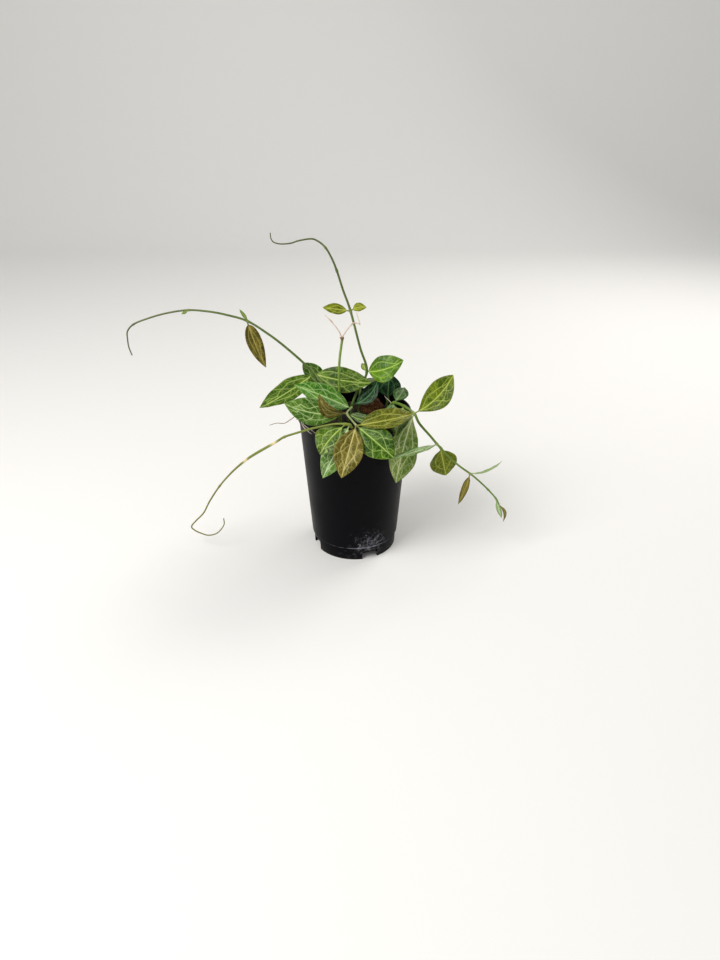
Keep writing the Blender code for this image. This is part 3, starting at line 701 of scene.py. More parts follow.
for offset, reach, depth in ((across_size, MIDRIB_GUTTER, 1.0), (from_side, SIDE_GUTTER, SIDE_DEPTH)):
    away = add(g, MATH, add(g, MATH, offset, half_width, operation="MULTIPLY"), reach, operation="DIVIDE")
    dip = add(g, MATH, add(g, MATH, away, away, operation="MULTIPLY"), -1.0, operation="MULTIPLY")
    dip = add(g, MATH, dip, operation="EXPONENT")
    dips.append(add(g, MATH, dip, -depth * GUTTER_DEPTH, operation="MULTIPLY"))
flat_map = add(g, XYZ, add(g, MATH, blade, length, operation="MULTIPLY"),
               add(g, MATH, across, half_width, operation="MULTIPLY"), given.outputs["Seed"])
pucker = add(g, NOISE, flat_map, into={"Scale": PUCKERS, "Detail": 1.0})
pucker = add(g, MATH, add(g, MATH, pucker, 0.5, operation="SUBTRACT"), PUCKER_HEIGHT, operation="MULTIPLY")
wave = add(g, MATH, given.outputs["Seed"], WAVE_START, operation="MULTIPLY")
wave = add(g, MATH, add(g, MATH, blade, EDGE_WAVES, operation="MULTIPLY"), wave, operation="ADD")
wave = add(g, MATH, add(g, MATH, wave, operation="SINE"), across_squared, operation="MULTIPLY")
wave = add(g, MATH, wave, add(g, MATH, half_width, WAVE_HEIGHT, operation="MULTIPLY"), operation="MULTIPLY")
relief = add(g, MATH, add(g, MATH, *dips, operation="ADD"), pucker, operation="ADD")
relief = add(g, MATH, add(g, MATH, relief, wave, operation="ADD"), on_blade, operation="MULTIPLY")

# %% Leaf group: put every point in its place
hump = add(g, MATH, share, add(g, MATH, 1.0, share, operation="SUBTRACT"), operation="MULTIPLY")
hump = add(g, MATH, hump, 4.0, operation="MULTIPLY")
fold_sine = add(g, MATH, given.outputs["Fold"], operation="SINE")
fold_cosine = add(g, MATH, given.outputs["Fold"], operation="COSINE")
rise = add(g, MATH, add(g, MATH, across_size, half_width, operation="MULTIPLY"),
           add(g, MATH, fold_sine, on_blade, operation="MULTIPLY"), operation="MULTIPLY")
up = add(g, MATH, add(g, MATH, rise, lens, operation="ADD"), relief, operation="ADD")
up = add(g, MATH, up, add(g, MATH, given.outputs["Bow"], hump, operation="MULTIPLY"), operation="ADD")
out = add(g, MATH, add(g, MATH, across, half_width, operation="MULTIPLY"), fold_cosine, operation="MULTIPLY")
out = add(g, MATH, out, add(g, MATH, given.outputs["Sweep"], hump, operation="MULTIPLY"), operation="ADD")
spot = add(g, VECTOR, given.outputs["Root"], add(g, VECTOR, chord, into={"Scale": share}, operation="SCALE"),
           operation="ADD")
spot = add(g, VECTOR, spot, add(g, VECTOR, normal, into={"Scale": up}, operation="SCALE"), operation="ADD")
spot = add(g, VECTOR, spot, add(g, VECTOR, side, into={"Scale": out}, operation="SCALE"), operation="ADD")
half_mm = add(g, MATH, half_width, PER_MM, operation="MULTIPLY")
flat_mm = add(g, VECTOR, flat_map, into={"Scale": PER_MM}, operation="SCALE")
leaf = rod
for label, field in (("along", blade), ("across", across), ("half_mm", half_mm), ("upper", upper)):
    leaf = add(g, STORE, leaf, into={"Name": label, "Value": field})
leaf = add(g, STORE, leaf, data_type="FLOAT_VECTOR", into={"Name": "flat_mm", "Value": flat_mm})
leaf = add(g, "GeometryNodeSetPosition", leaf, into={"Position": spot})
leaf = add(g, "GeometryNodeSetShadeSmooth", leaf)
leaf = add(g, "GeometryNodeRealizeInstances", leaf)
leaf = add(g, "GeometryNodeSetMaterial", leaf, into={"Material": given.outputs["Finish"]})
fill(g, end.inputs[0], leaf)
print("leaf group:", len(g.nodes), "nodes")

# %% [markdown]
# ### What a leaf looks like
#
# The blade is a thick cuticle over green tissue: glossy in a soft, broad way, with cream veins that look lit
# from inside. The main veins are drawn from the stored numbers, in true millimetres, so they keep their
# width as the blade widens. Branches leave the midrib in pairs, about 11 mm apart on a blade of 40 mm, and a
# net of cells 6 mm wide fills the rest. Around each vein the green is lighter. The underside is paler, and
# the edge carries a thin brownish line. The flat map is in millimetres already, so a scale of 0.1 on it
# makes lumps of 10 mm.

# %% Leaf material: the veins
DRIFT_ACROSS, DRIFT_ALONG = 0.4, 0.3
BRANCH_SPACING, BRANCH_SLANT, BRANCH_SHIFT, BLADE_MM = 0.27, 0.3, 0.03, 40
NET_CELLS, NET_CELL_MM = 0.17, 5.9
MIDRIB_AT_BASE, MIDRIB_THINNER = 0.85, 0.45
SIDE_WIDTH, BRANCH_WIDTH, NET_WIDTH = 0.5, 0.45, 0.34
SIDE_STRENGTH, NET_STRENGTH = 0.66, 0.24
CORE_OF_LINE, GLOW_WIDTH = 0.25, 4.0


def soft_line(tree, distance, width):
    """1 on a line, falling smoothly to 0 at its edge; distance and width are in millimetres."""
    core = add(tree, MATH, width, CORE_OF_LINE, operation="MULTIPLY")
    return add(tree, RANGE, distance, core, width, 1.0, 0.0, interpolation_type="SMOOTHSTEP")


def vein_pattern(tree):
    """(sharp veins, soft glow round them) from the leaf's stored numbers."""
    along, across, half = (add(tree, STORED, attribute_name=label).outputs["Fac"]
                           for label in ("along", "across", "half_mm"))
    flat = add(tree, STORED, attribute_name="flat_mm").outputs["Vector"]
    drift = add(tree, NOISE, flat, into={"Scale": 0.1, "Detail": 1.0})
    drift = add(tree, MATH, drift, 0.5, operation="SUBTRACT")
    bent_across = add(tree, MATH, drift, DRIFT_ACROSS, across, operation="MULTIPLY_ADD")
    bent_along = add(tree, MATH, drift, DRIFT_ALONG, along, operation="MULTIPLY_ADD")
    bent_size = add(tree, MATH, bent_across, operation="ABSOLUTE")

    from_midrib = add(tree, MATH, add(tree, MATH, across, operation="ABSOLUTE"), half, operation="MULTIPLY")
    midrib_width = add(tree, MATH, along, -MIDRIB_THINNER, MIDRIB_AT_BASE, operation="MULTIPLY_ADD")

    turn = add(tree, MATH, bent_along, SIDE_VEIN_END, operation="DIVIDE", use_clamp=True)
    turn = add(tree, MATH, turn, SIDE_VEIN_SKEW, operation="POWER")
    arc = add(tree, MATH, add(tree, MATH, turn, math.pi, operation="MULTIPLY"), operation="SINE")
    arc = add(tree, MATH, arc, SIDE_VEIN_REACH, operation="MULTIPLY")
    from_arc = add(tree, MATH, add(tree, MATH, bent_size, arc, operation="SUBTRACT"), operation="ABSOLUTE")
    from_arc = add(tree, MATH, from_arc, half, operation="MULTIPLY")

    steps = add(tree, MATH, bent_size, -BRANCH_SLANT, bent_along, operation="MULTIPLY_ADD")
    half_side = add(tree, MATH, across, operation="SIGN")
    steps = add(tree, MATH, half_side, BRANCH_SHIFT, steps, operation="MULTIPLY_ADD")
    saw = add(tree, MATH, add(tree, MATH, steps, BRANCH_SPACING, operation="DIVIDE"), operation="FRACT")
    saw = add(tree, MATH, add(tree, MATH, saw, 0.5, operation="SUBTRACT"), operation="ABSOLUTE")
    from_branch = add(tree, MATH, saw, BLADE_MM * BRANCH_SPACING, operation="MULTIPLY")
    branch_strength = add(tree, RANGE, along, 0.2, 0.5, 0.15, 0.7)

    cells = add(tree, "ShaderNodeTexVoronoi", flat, into={"Scale": NET_CELLS, "Randomness": 0.9},
                feature="DISTANCE_TO_EDGE")
    from_net = add(tree, MATH, cells, NET_CELL_MM, operation="MULTIPLY")

    veins = glow = None
    for distance, width, strength in (
            (from_midrib, midrib_width, 1.0), (from_arc, SIDE_WIDTH, SIDE_STRENGTH),
            (from_branch, BRANCH_WIDTH, branch_strength), (from_net, NET_WIDTH, NET_STRENGTH)):
        sharp = add(tree, MATH, soft_line(tree, distance, width), strength, operation="MULTIPLY")
        reach = add(tree, MATH, width, GLOW_WIDTH, operation="MULTIPLY")
        soft = add(tree, MATH, soft_line(tree, distance, reach), strength, operation="MULTIPLY")
        veins = sharp if veins is None else add(tree, MATH, veins, sharp, operation="MAXIMUM")
        glow = soft if glow is None else add(tree, MATH, glow, soft, operation="MAXIMUM")
    on_blade = add(tree, RANGE, half, 0.7, 2.5, 0.25, 1.0)
    return add(tree, MATH, veins, on_blade, operation="MULTIPLY"), glow


# %% [markdown]
# ### Colour, wax and edge
#
# Between the veins the green is mottled in flecks of a millimetre and a half, and clouded more softly over a
# centimetre. The skin's own grain is finer than a tenth of a millimetre. It is drawn at 0.4 mm, just fine
# enough to break up the highlights. The veins lie a little lower than the flesh between them.

# %% Leaf material: colour, wax and edge
LEAF_ROUGHNESS, LEAF_SPECULAR = 0.34, 0.25
FLECKS, CLOUDS, SKIN_GRAIN = 0.7, 0.08, 2.5
GLOW_LIGHTER, VEIN_SHOWN = 0.42, 0.8
GRAIN_RISE, VEIN_SINK = 0.3, 0.8


def leaf_finish(name, deep, light, vein, edge, under):
    """A waxy leaf with pale veins: hexes of deep and light green, veins, edge line and underside."""
    material, tree, shader = new_material(name, LEAF_ROUGHNESS, LEAF_SPECULAR)
    veins, glow = vein_pattern(tree)
    across, upper = (add(tree, STORED, attribute_name=label).outputs["Fac"] for label in ("across", "upper"))
    flat = add(tree, STORED, attribute_name="flat_mm").outputs["Vector"]
    mottle = add(tree, NOISE, flat, into={"Scale": FLECKS, "Detail": 5.0, "Roughness": 0.8})
    mottle = add(tree, RANGE, mottle, 0.36, 0.66, -0.35, 0.6)
    cloud = add(tree, NOISE, flat, into={"Scale": CLOUDS, "Detail": 1.0})
    cloud = add(tree, RANGE, cloud, 0.35, 0.65, -0.15, 0.3)
    lightness = add(tree, MATH, glow, GLOW_LIGHTER, add(tree, MATH, mottle, cloud, operation="ADD"),
                    operation="MULTIPLY_ADD", use_clamp=True)
    shown = add(tree, MATH, veins, VEIN_SHOWN, operation="MULTIPLY")
    at_edge = add(tree, RANGE, add(tree, MATH, across, operation="ABSOLUTE"), 0.93, 0.985, 0.0, 0.6)
    below = add(tree, RANGE, upper, -1.0, 1.0, 0.72, 0.0)
    colour = linear(deep)
    for amount, paint in ((lightness, light), (shown, vein), (at_edge, edge), (below, under)):
        colour = add(tree, MIX, amount, colour, linear(paint), data_type="RGBA")
    fill(tree, shader.inputs["Base Color"], colour)
    grain = add(tree, NOISE, flat, into={"Scale": SKIN_GRAIN, "Detail": 2.0})
    sunk = add(tree, MATH, glow, -VEIN_SINK, operation="MULTIPLY")
    height = add(tree, MATH, grain, GRAIN_RISE, sunk, operation="MULTIPLY_ADD")
    bump = add(tree, "ShaderNodeBump", into={"Strength": 0.5, "Distance": 0.4 * MM, "Height": height})
    fill(tree, shader.inputs["Normal"], bump)
    shader.inputs["Subsurface Weight"].default_value = 0.1
    shader.inputs["Subsurface Radius"].default_value = (1.2 * MM, 2 * MM, 0.4 * MM)
    return material


LEAF_FINISHES = {
    "green": leaf_finish("waxy_leaf_green", "#1f4200", "#5c8410", "#b6cb74", "#505a1c", "#8ea648"),
    "lime": leaf_finish("waxy_leaf_lime", "#335c04", "#6d9414", "#b0ca66", "#63721e", "#98b04a"),
    # This finish is the leaf green made lighter and bluer: painted sheen, standing in for the silvery
    # reflection on the wax.
    "green_with_painted_sheen": leaf_finish("waxy_leaf_silver", "#285c08", "#74a63c", "#c6dc9c", "#46681e", "#96b466"),
    "teal": leaf_finish("waxy_leaf_grey_olive", "#2c5208", "#729638", "#c8da9c", "#46601e", "#8ca864"),
    "olive": leaf_finish("waxy_leaf_olive", "#2a4802", "#688a1c", "#bccc78", "#5a5224", "#8f9a54"),
    "sunlit": leaf_finish("waxy_leaf_yellow_green", "#3c5200", "#7a8c14", "#bcc85e", "#6a6a20", "#9aa44c"),
    "golden": leaf_finish("waxy_leaf_yellow_olive", "#4c5a00", "#86900f", "#c2c85c", "#6e5c22", "#a0a04a"),
    "bronze": leaf_finish("waxy_leaf_bronze", "#524c12", "#8c8236", "#d6cb80", "#6e4a2c", "#98904e"),
    "amber": leaf_finish("waxy_leaf_olive_bronze", "#424c04", "#82841e", "#c2c468", "#6e5828", "#969444"),
    "brown": leaf_finish("waxy_leaf_brown", "#3b3606", "#7a6f22", "#b0a45c", "#643c24", "#8f7e4c"),
    # This finish is a darker copy of the leaf green: painted shade for leaves in the shadow inside the mound.
    "dark": leaf_finish("waxy_leaf_shade", "#04220a", "#1b4a22", "#6c9c66", "#1c3a20", "#33603a"),
    "grey": leaf_finish("waxy_leaf_grey_green", "#34561e", "#6a8a50", "#9fb888", "#465f3a", "#7f9a68"),
    "pale": leaf_finish("waxy_leaf_pale", "#446a1c", "#86a85a", "#dcebbe", "#6c843a", "#aac284"),
    # This finish is the hanging leaf's own pale green, made lighter still as painted light: a painted
    # highlight on a leaf that turns away from the lamps.
    "pale_with_painted_light": leaf_finish("waxy_leaf_faded", "#56761e", "#a8b868", "#f2f4cc", "#6e6a34", "#b0bc7c"),
}
print("leaf finishes:", list(LEAF_FINISHES))

# %% [markdown]
# ### Growing the leaves
#
# Every row of the table runs through the group. The leaf starts inside the stem's skin, so stalk and stem
# meet. Its box is then compared with that of the solid it stands for, which shows at once if a row went
# wrong. The table's colours are those of the solids, and a leaf that looks different in the light is
# repainted here.

# %% Leaves in place
LEAF_LOOK = {
    # The upper left leaf takes the finish with painted sheen.
    "leaf_upper_left": "green_with_painted_sheen", "leaf_lower_left": "teal", "leaf_top_right": "lime",
    "leaf_right_upright": "sunlit", "leaf_left_vine_hanging": "brown", "leaf_vine_bronze": "brown",
    "leaf_vine_tip_outer": "brown", "leaf_front_left": "olive", "leaf_front_olive": "amber",
    "leaf_left_folded": "teal", "leaf_round_back": "grey", "leaf_small_right": "grey",
    "leaf_left_vine_sliver": "olive", "leaf_left_vine_bud": "olive", "leaf_behind_middle": "teal",
    "leaf_behind_small": "olive", "leaf_vine_round": "golden", "leaf_tall_vine_left": "golden",
    # The hanging leaf takes the finish with painted light.
    "leaf_tall_vine_right": "golden", "leaf_right_hanging": "pale_with_painted_light",
}
STALK_LENGTH, SHORT_STALKS = 4.5, {"leaf_top_right": 2.0}
LEAF_THICKNESS, INTO_THE_STEM = 1.0, 0.6
random.seed(4)
worst = (0, "")
for name, (stem, node, tip, width, face, bow, sweep, fold, widest, slot) in LEAVES.items():
    root_radius, tip_radius, points = STEMS[stem]
    here = Vector(points[node])
    before, after = Vector(points[max(node - 1, 0)]), Vector(points[min(node + 1, len(points) - 1)])
    tangent = (after - before).normalized()
    growth = Vector(tip) - here
    outwards = (growth - growth.dot(tangent) * tangent).normalized()
    radius = root_radius + (tip_radius - root_radius) * node / (len(points) - 1)
    obj = new_piece(name + "_look", bpy.data.meshes.new(name))
    grow(obj, leaf_group, Root=tuple(place(here + outwards * INTO_THE_STEM * radius)), Tip=tuple(place(tip)),
         Face=tuple(float(v) for v in face), Width=width * MM, Bow=bow * MM, Sweep=sweep * MM,
         Fold=math.radians(fold), Widest=widest, Stalk=SHORT_STALKS.get(name, STALK_LENGTH) * MM,
         Thickness=LEAF_THICKNESS * MM, Seed=random.uniform(0.01, 0.9),
         Finish=LEAF_FINISHES[LEAF_LOOK.get(name, slot)])
    low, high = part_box(name)
    for k in range(3):
        reached = [v.co[k] for v in obj.data.vertices]
        worst = max(worst, (abs(min(reached) - low[k]), name), (abs(max(reached) - high[k]), name))
    declare(obj, slot, name)
print("leaves grown:", len(LEAVES), "; largest box difference", round(worst[0] / MM, 2), "mm on", worst[1])

# %% [markdown]
# ## The pot
#
# A nursery pot is moulded in thin polypropylene. Its section is turned round the axis, so a lathe is the
# natural way to make it: a list of radii and heights from the foot up the outside, over the rolled lip and
# down the inside. Four drain notches are cut through the foot with blocks, and every sharp edge gets the
# small rounding that a mould leaves.

# %% Pot sizes
RIM_RADIUS, RIM_HEIGHT, LIP_PROUD, LIP_HEIGHT = 50.0, 134.0, 1.0, 7.0
WALL, SHOULDER_RADIUS, SHOULDER_HEIGHT = 1.3, 40.0, 13.0
FOOT_RADIUS, FOOT_WALL, FLOOR_HEIGHT = 38.2, 2.0, 3.4
HOLE_RADIUS = 5.0
NOTCH_ANGLES, NOTCH_CORNER = (-68, 22, 112, 202), 2.0
NOTCH_WIDTH, NOTCH_HEIGHT, NOTCH_DEPTH = 15.0, 8.6, 9.0
MOULD_ROUNDING, SHARP_EDGE = 0.25, math.radians(50)
POT_SIDES = 144


def wall_radius(height):
    """Outer radius of the pot's wall at that height, above its foot."""
    share = (height - SHOULDER_HEIGHT) / (RIM_HEIGHT - SHOULDER_HEIGHT)
    return SHOULDER_RADIUS + share * (RIM_RADIUS - LIP_PROUD - SHOULDER_RADIUS)


lip = RIM_HEIGHT - LIP_HEIGHT
inner_rim = RIM_RADIUS - LIP_PROUD - WALL
outside = [(FOOT_RADIUS, 0), (FOOT_RADIUS + 0.4, SHOULDER_HEIGHT - 1.2),
           (SHOULDER_RADIUS - 0.5, SHOULDER_HEIGHT - 0.4), (SHOULDER_RADIUS, SHOULDER_HEIGHT + 0.2)]
outside += [(wall_radius(h), h) for h in range(17, int(lip), 5)]
outside += [(wall_radius(lip), lip), (RIM_RADIUS - 0.35, lip + 0.5), (RIM_RADIUS - 0.1, lip + 1.2),
            (RIM_RADIUS, RIM_HEIGHT - 1.2), (RIM_RADIUS - 0.2, RIM_HEIGHT - 0.45),
            (RIM_RADIUS - 0.7, RIM_HEIGHT)]
inside = [(inner_rim + 0.5, RIM_HEIGHT), (inner_rim + 0.1, RIM_HEIGHT - 0.4), (inner_rim, RIM_HEIGHT - 1.2)]
inside += [(wall_radius(h) - WALL, h) for h in range(125, 10, -10)]
inside += [(SHOULDER_RADIUS - WALL, SHOULDER_HEIGHT + 0.5), (FOOT_RADIUS + 0.4 - WALL, SHOULDER_HEIGHT - 1.2),
           (FOOT_RADIUS - 1.5, FLOOR_HEIGHT + WALL), (HOLE_RADIUS, FLOOR_HEIGHT + WALL),
           (HOLE_RADIUS, FLOOR_HEIGHT), (FOOT_RADIUS - FOOT_WALL, FLOOR_HEIGHT), (FOOT_RADIUS - FOOT_WALL, 0)]
print("pot section:", len(outside) + len(inside), "points")


# %% Turn the section, cut the notches
def turned(name, profile, sides):
    """A closed shell turned round the pot's axis from (radius, height) points in millimetres."""
    bm = bmesh.new()
    rings = []
    for radius, height in profile:
        angles = [2 * math.pi * k / sides for k in range(sides)] if radius else [0]
        ring = [place((radius * math.cos(a), radius * math.sin(a), height)) for a in angles]
        rings.append([bm.verts.new(point) for point in ring])
    for lower, higher in zip(rings, rings[1:] + rings[:1]):
        if len(lower) == 1 and len(higher) == 1:
            continue
        for k in range(sides):
            n = (k + 1) % sides
            corners = [lower[k % len(lower)], lower[n % len(lower)],
                       higher[n % len(higher)], higher[k % len(higher)]]
            bm.faces.new(list(dict.fromkeys(corners)))
    bmesh.ops.recalc_face_normals(bm, faces=bm.faces)
    mesh = bpy.data.meshes.new(name)
    bm.to_mesh(mesh)
    bm.free()
    return new_piece(name, mesh)


pot = turned("pot_look", outside + inside, POT_SIDES)
cutters = []
for angle in NOTCH_ANGLES:
    block = bmesh.new()
    bmesh.ops.create_cube(block, size=1)
    bmesh.ops.scale(block, vec=(NOTCH_DEPTH, NOTCH_WIDTH, 2 * NOTCH_HEIGHT), verts=block.verts)
    upper_edges = [e for e in block.edges if all(v.co.z > 0 for v in e.verts)]
    rounded = [e for e in upper_edges if abs(e.verts[0].co.y - e.verts[1].co.y) < 1]
    bmesh.ops.bevel(block, geom=rounded, offset=NOTCH_CORNER, segments=4, affect="EDGES", profile=0.5)
    bmesh.ops.translate(block, vec=(FOOT_RADIUS, 0, 0), verts=block.verts)
    bmesh.ops.rotate(block, matrix=Matrix.Rotation(math.radians(angle), 3, "Z"), verts=block.verts)
    bmesh.ops.scale(block, vec=(MM, MM, MM), verts=block.verts)
    bmesh.ops.translate(block, vec=POT_AXIS, verts=block.verts)
    mesh = bpy.data.meshes.new("notch_block")
    block.to_mesh(mesh)
    block.free()
    cutters.append(new_piece("notch_block", mesh))
    cut = pot.modifiers.new("notch", "BOOLEAN")
    cut.operation, cut.object, cut.solver = "DIFFERENCE", cutters[-1], "EXACT"
rounding = pot.modifiers.new("mould_rounding", "BEVEL")
rounding.width, rounding.segments = MOULD_ROUNDING * MM, 2
rounding.limit_method, rounding.angle_limit = "ANGLE", SHARP_EDGE
graph = bpy.context.evaluated_depsgraph_get()
pot_mesh = bpy.data.meshes.new_from_object(pot.evaluated_get(graph), depsgraph=graph)
pot.modifiers.clear()
pot.data = pot_mesh
for cutter in cutters:
    bpy.data.objects.remove(cutter)
pot_mesh.shade_smooth()
pot_mesh.set_sharp_from_angle(angle=math.radians(35))
print("pot:", len(pot_mesh.polygons), "faces")

# %% [markdown]
# ### Black polypropylene
#
# The plastic is near black with a trace of violet, satin where the mould was satin, with faint rings some
# 3 mm apart and an orange peel of 0.7 mm. Hard water has left a chalky film near the foot, thickest on the
# seam and at the front. Its specks are really a tenth of a millimetre wide. They are drawn at 0.7 mm, in
# patches of 4 mm, which is as fine as the picture can show. The film is duller than the plastic round it.

# %% Pot material: where the chalky film lies
FILM_SPECKS, FILM_PATCHES = 1.5 * PER_MM, 0.26 * PER_MM
FRONT_SPOT, LEFT_SPOT = place((15, -38, 17)), place((-38, -10, 11))
plastic, tree, shader = new_material("moulded_polypropylene_black", 0.42, 0.1)
where = add(tree, "ShaderNodeTexCoord").outputs["Object"]
height = add(tree, "ShaderNodeSeparateXYZ", where).outputs["Z"]
specks = add(tree, NOISE, where, into={"Scale": FILM_SPECKS, "Detail": 6.0, "Roughness": 0.8})
patches = add(tree, NOISE, where, into={"Scale": FILM_PATCHES, "Detail": 4.0, "Roughness": 0.7})
patches = add(tree, MATH, patches, 0.45, operation="MULTIPLY")
grains = add(tree, MATH, specks, 0.55, patches, operation="MULTIPLY_ADD")
front_spot = add(tree, VECTOR, where, tuple(FRONT_SPOT), operation="DISTANCE")
left_spot = add(tree, VECTOR, where, tuple(LEFT_SPOT), operation="DISTANCE")
from_seam = add(tree, MATH, height, SHOULDER_HEIGHT * MM, operation="SUBTRACT")
from_seam = add(tree, MATH, from_seam, operation="ABSOLUTE")
near_front = add(tree, RANGE, front_spot, 3 * MM, 32 * MM, 0.13, 0.0)
near_left = add(tree, RANGE, left_spot, 1 * MM, 10 * MM, 0.13, 0.0)
low_band = add(tree, RANGE, height, 2 * MM, 30 * MM, 0.05, 0.0)
seam = add(tree, RANGE, from_seam, 0.1 * MM, 1.1 * MM, 0.12, 0.0)
amount = add(tree, MATH, add(tree, MATH, near_front, near_left, operation="ADD"),
             add(tree, MATH, low_band, seam, operation="ADD"), operation="ADD")
film = add(tree, RANGE, add(tree, MATH, grains, amount, operation="ADD"), 0.64, 0.76, 0.0, 0.6)
print("film spots at", [[round(v / MM) for v in spot] for spot in (FRONT_SPOT, LEFT_SPOT)], "mm in the frame")

# %% Pot material: colour, gloss and relief
SHADE_LUMPS, RING_BANDS, ORANGE_PEEL = 0.04 * PER_MM, 0.095 * PER_MM, 1.4 * PER_MM
shade = add(tree, NOISE, where, into={"Scale": SHADE_LUMPS, "Detail": 3.0})
body = add(tree, MIX, shade, linear("#020104"), linear("#050409"), data_type="RGBA")
colour = add(tree, MIX, film, body, linear("#b4b8c2"), data_type="RGBA")
fill(tree, shader.inputs["Base Color"], colour)
dull = add(tree, RANGE, film, 0.0, 0.6, 0.4, 0.85)
scuff = add(tree, RANGE, shade, 0.3, 0.7, -0.05, 0.08)
fill(tree, shader.inputs["Roughness"], add(tree, MATH, dull, scuff, operation="ADD"))
rings = add(tree, "ShaderNodeTexWave", where, into={"Scale": RING_BANDS, "Distortion": 1.5, "Detail": 1.0},
            bands_direction="Z")
orange_peel = add(tree, NOISE, where, into={"Scale": ORANGE_PEEL, "Detail": 1.0})
relief = add(tree, MATH, rings, 0.35, orange_peel, operation="MULTIPLY_ADD")
bump = add(tree, "ShaderNodeBump", into={"Strength": 0.25, "Distance": 0.12 * MM, "Height": relief})
fill(tree, shader.inputs["Normal"], bump)
pot.data.materials.clear()
pot.data.materials.append(plastic)
declare(pot, "black_plastic", "pot")
print("pot finish:", plastic.name)

# %% [markdown]
# ## The bark mix
#
# The pot is filled with dark bark, painted darker still as shade under the leaves, so what shows is a layer
# of chips, not a flat top. A turned plug stands for what lies below, a few tenths of a millimetre smaller
# than the pot's inside. Geometry Nodes then scatter chips over its top with a fixed seed: each chip is a
# rough pebble of
# 3 mm, squashed to a flake, turned at random and bent out of shape by noise. They keep away from the wall, so
# that none comes through.

# %% Plug of mix
MIX_TOP = 122.0
PLUG_SIDES = 96
share = (MIX_TOP - SHOULDER_HEIGHT) / (RIM_HEIGHT - SHOULDER_HEIGHT)
top_radius = SHOULDER_RADIUS - WALL + share * (inner_rim - SHOULDER_RADIUS + WALL) - 0.2
low = FLOOR_HEIGHT + WALL + 0.1
plug_profile = [(0, low), (20, low), (FOOT_RADIUS - 3, low), (FOOT_RADIUS - 1.6, SHOULDER_HEIGHT - 1.5),
                (SHOULDER_RADIUS - WALL - 0.6, SHOULDER_HEIGHT + 1.5)]
for k in range(1, 7):
    plug_profile.append((SHOULDER_RADIUS - WALL - 0.6 + (top_radius - SHOULDER_RADIUS + WALL + 0.6) * k / 6,
                         SHOULDER_HEIGHT + 1.5 + (MIX_TOP - 1.0 - SHOULDER_HEIGHT - 1.5) * k / 6))
plug_profile += [(top_radius * (1 - k / 24), MIX_TOP - 0.9) for k in range(1, 24)] + [(0, MIX_TOP - 0.9)]
plug = turned("potting_mix_look", plug_profile, PLUG_SIDES)
print("plug:", len(plug.data.polygons), "faces")

# %% Chip group: the lumpy ground
GROUND_LUMPS, GROUND_HEIGHT = 0.16 * PER_MM, 5 * MM
chip_group, given, end = new_group("Bark chips", Axis="Vector", Reach="Float", Spacing="Float", Size="Float",
                                   Lowest="Float", Seed="Int", Finish="Material")
g = chip_group
where = add(g, "GeometryNodeInputPosition")
lumps = add(g, NOISE, where, into={"Scale": GROUND_LUMPS, "Detail": 4.0})
lift = add(g, MATH, add(g, MATH, lumps, 0.5, operation="SUBTRACT"), GROUND_HEIGHT, operation="MULTIPLY")
level_at = add(g, "ShaderNodeSeparateXYZ", where).outputs["Z"]
is_top = add(g, MATH, level_at, given.outputs["Lowest"], operation="GREATER_THAN")
lift = add(g, XYZ, 0.0, 0.0, add(g, MATH, lift, is_top, operation="MULTIPLY"))
ground = add(g, "GeometryNodeSetPosition", given.outputs["Geometry"], into={"Offset": lift})
print("ground: lumps of", round(1 / GROUND_LUMPS / MM, 1), "mm")

# %% Chip group: scatter the chips
DENSEST = 900000.0
CRUMPLES, CRUMPLE_SIZE = 0.42 * PER_MM, 2.4 * MM
SMALLEST_CHIP, LARGEST_CHIP = (0.7, 0.4, 0.25), (2.1, 1.2, 0.7)
LEAST_TURN, MOST_TURN = (-0.5, -0.5, 0.0), (0.5, 0.5, 6.28)
level = add(g, VECTOR, where, (1, 1, 0), operation="MULTIPLY")
from_axis = add(g, VECTOR, level, given.outputs["Axis"], operation="DISTANCE")
is_inside = add(g, MATH, from_axis, given.outputs["Reach"], operation="LESS_THAN")
chosen = add(g, MATH, is_top, is_inside, operation="MULTIPLY")
points = add(g, "GeometryNodeDistributePointsOnFaces", ground, chosen, given.outputs["Spacing"], DENSEST, 1.0,
             given.outputs["Seed"], distribute_method="POISSON")
chip = add(g, "GeometryNodeMeshIcoSphere", given.outputs["Size"], 2)
crumple = add(g, NOISE, add(g, "GeometryNodeInputPosition"), into={"Scale": CRUMPLES, "Detail": 1.0})
crumple = add(g, VECTOR, crumple.outputs["Color"], (0.5, 0.5, 0.5), operation="SUBTRACT")
crumple = add(g, VECTOR, crumple, into={"Scale": CRUMPLE_SIZE}, operation="SCALE")
chip = add(g, "GeometryNodeSetPosition", chip, into={"Offset": crumple})
turned_by, stretched = (
    add(g, "FunctionNodeRandomValue", least, most, data_type="FLOAT_VECTOR", into={"Seed": seed})
    for least, most, seed in ((LEAST_TURN, MOST_TURN, 1), (SMALLEST_CHIP, LARGEST_CHIP, 2)))
chips = add(g, "GeometryNodeInstanceOnPoints", points, into={
    "Instance": chip, "Rotation": add(g, "FunctionNodeEulerToRotation", turned_by), "Scale": stretched})
whole = add(g, "GeometryNodeJoinGeometry", chips)
fill(g, whole.inputs[0], ground)
whole = add(g, "GeometryNodeRealizeInstances", whole)
whole = add(g, "GeometryNodeSetMaterial", whole, into={"Material": given.outputs["Finish"]})
fill(g, end.inputs[0], whole)
print("chip group:", len(g.nodes), "nodes")
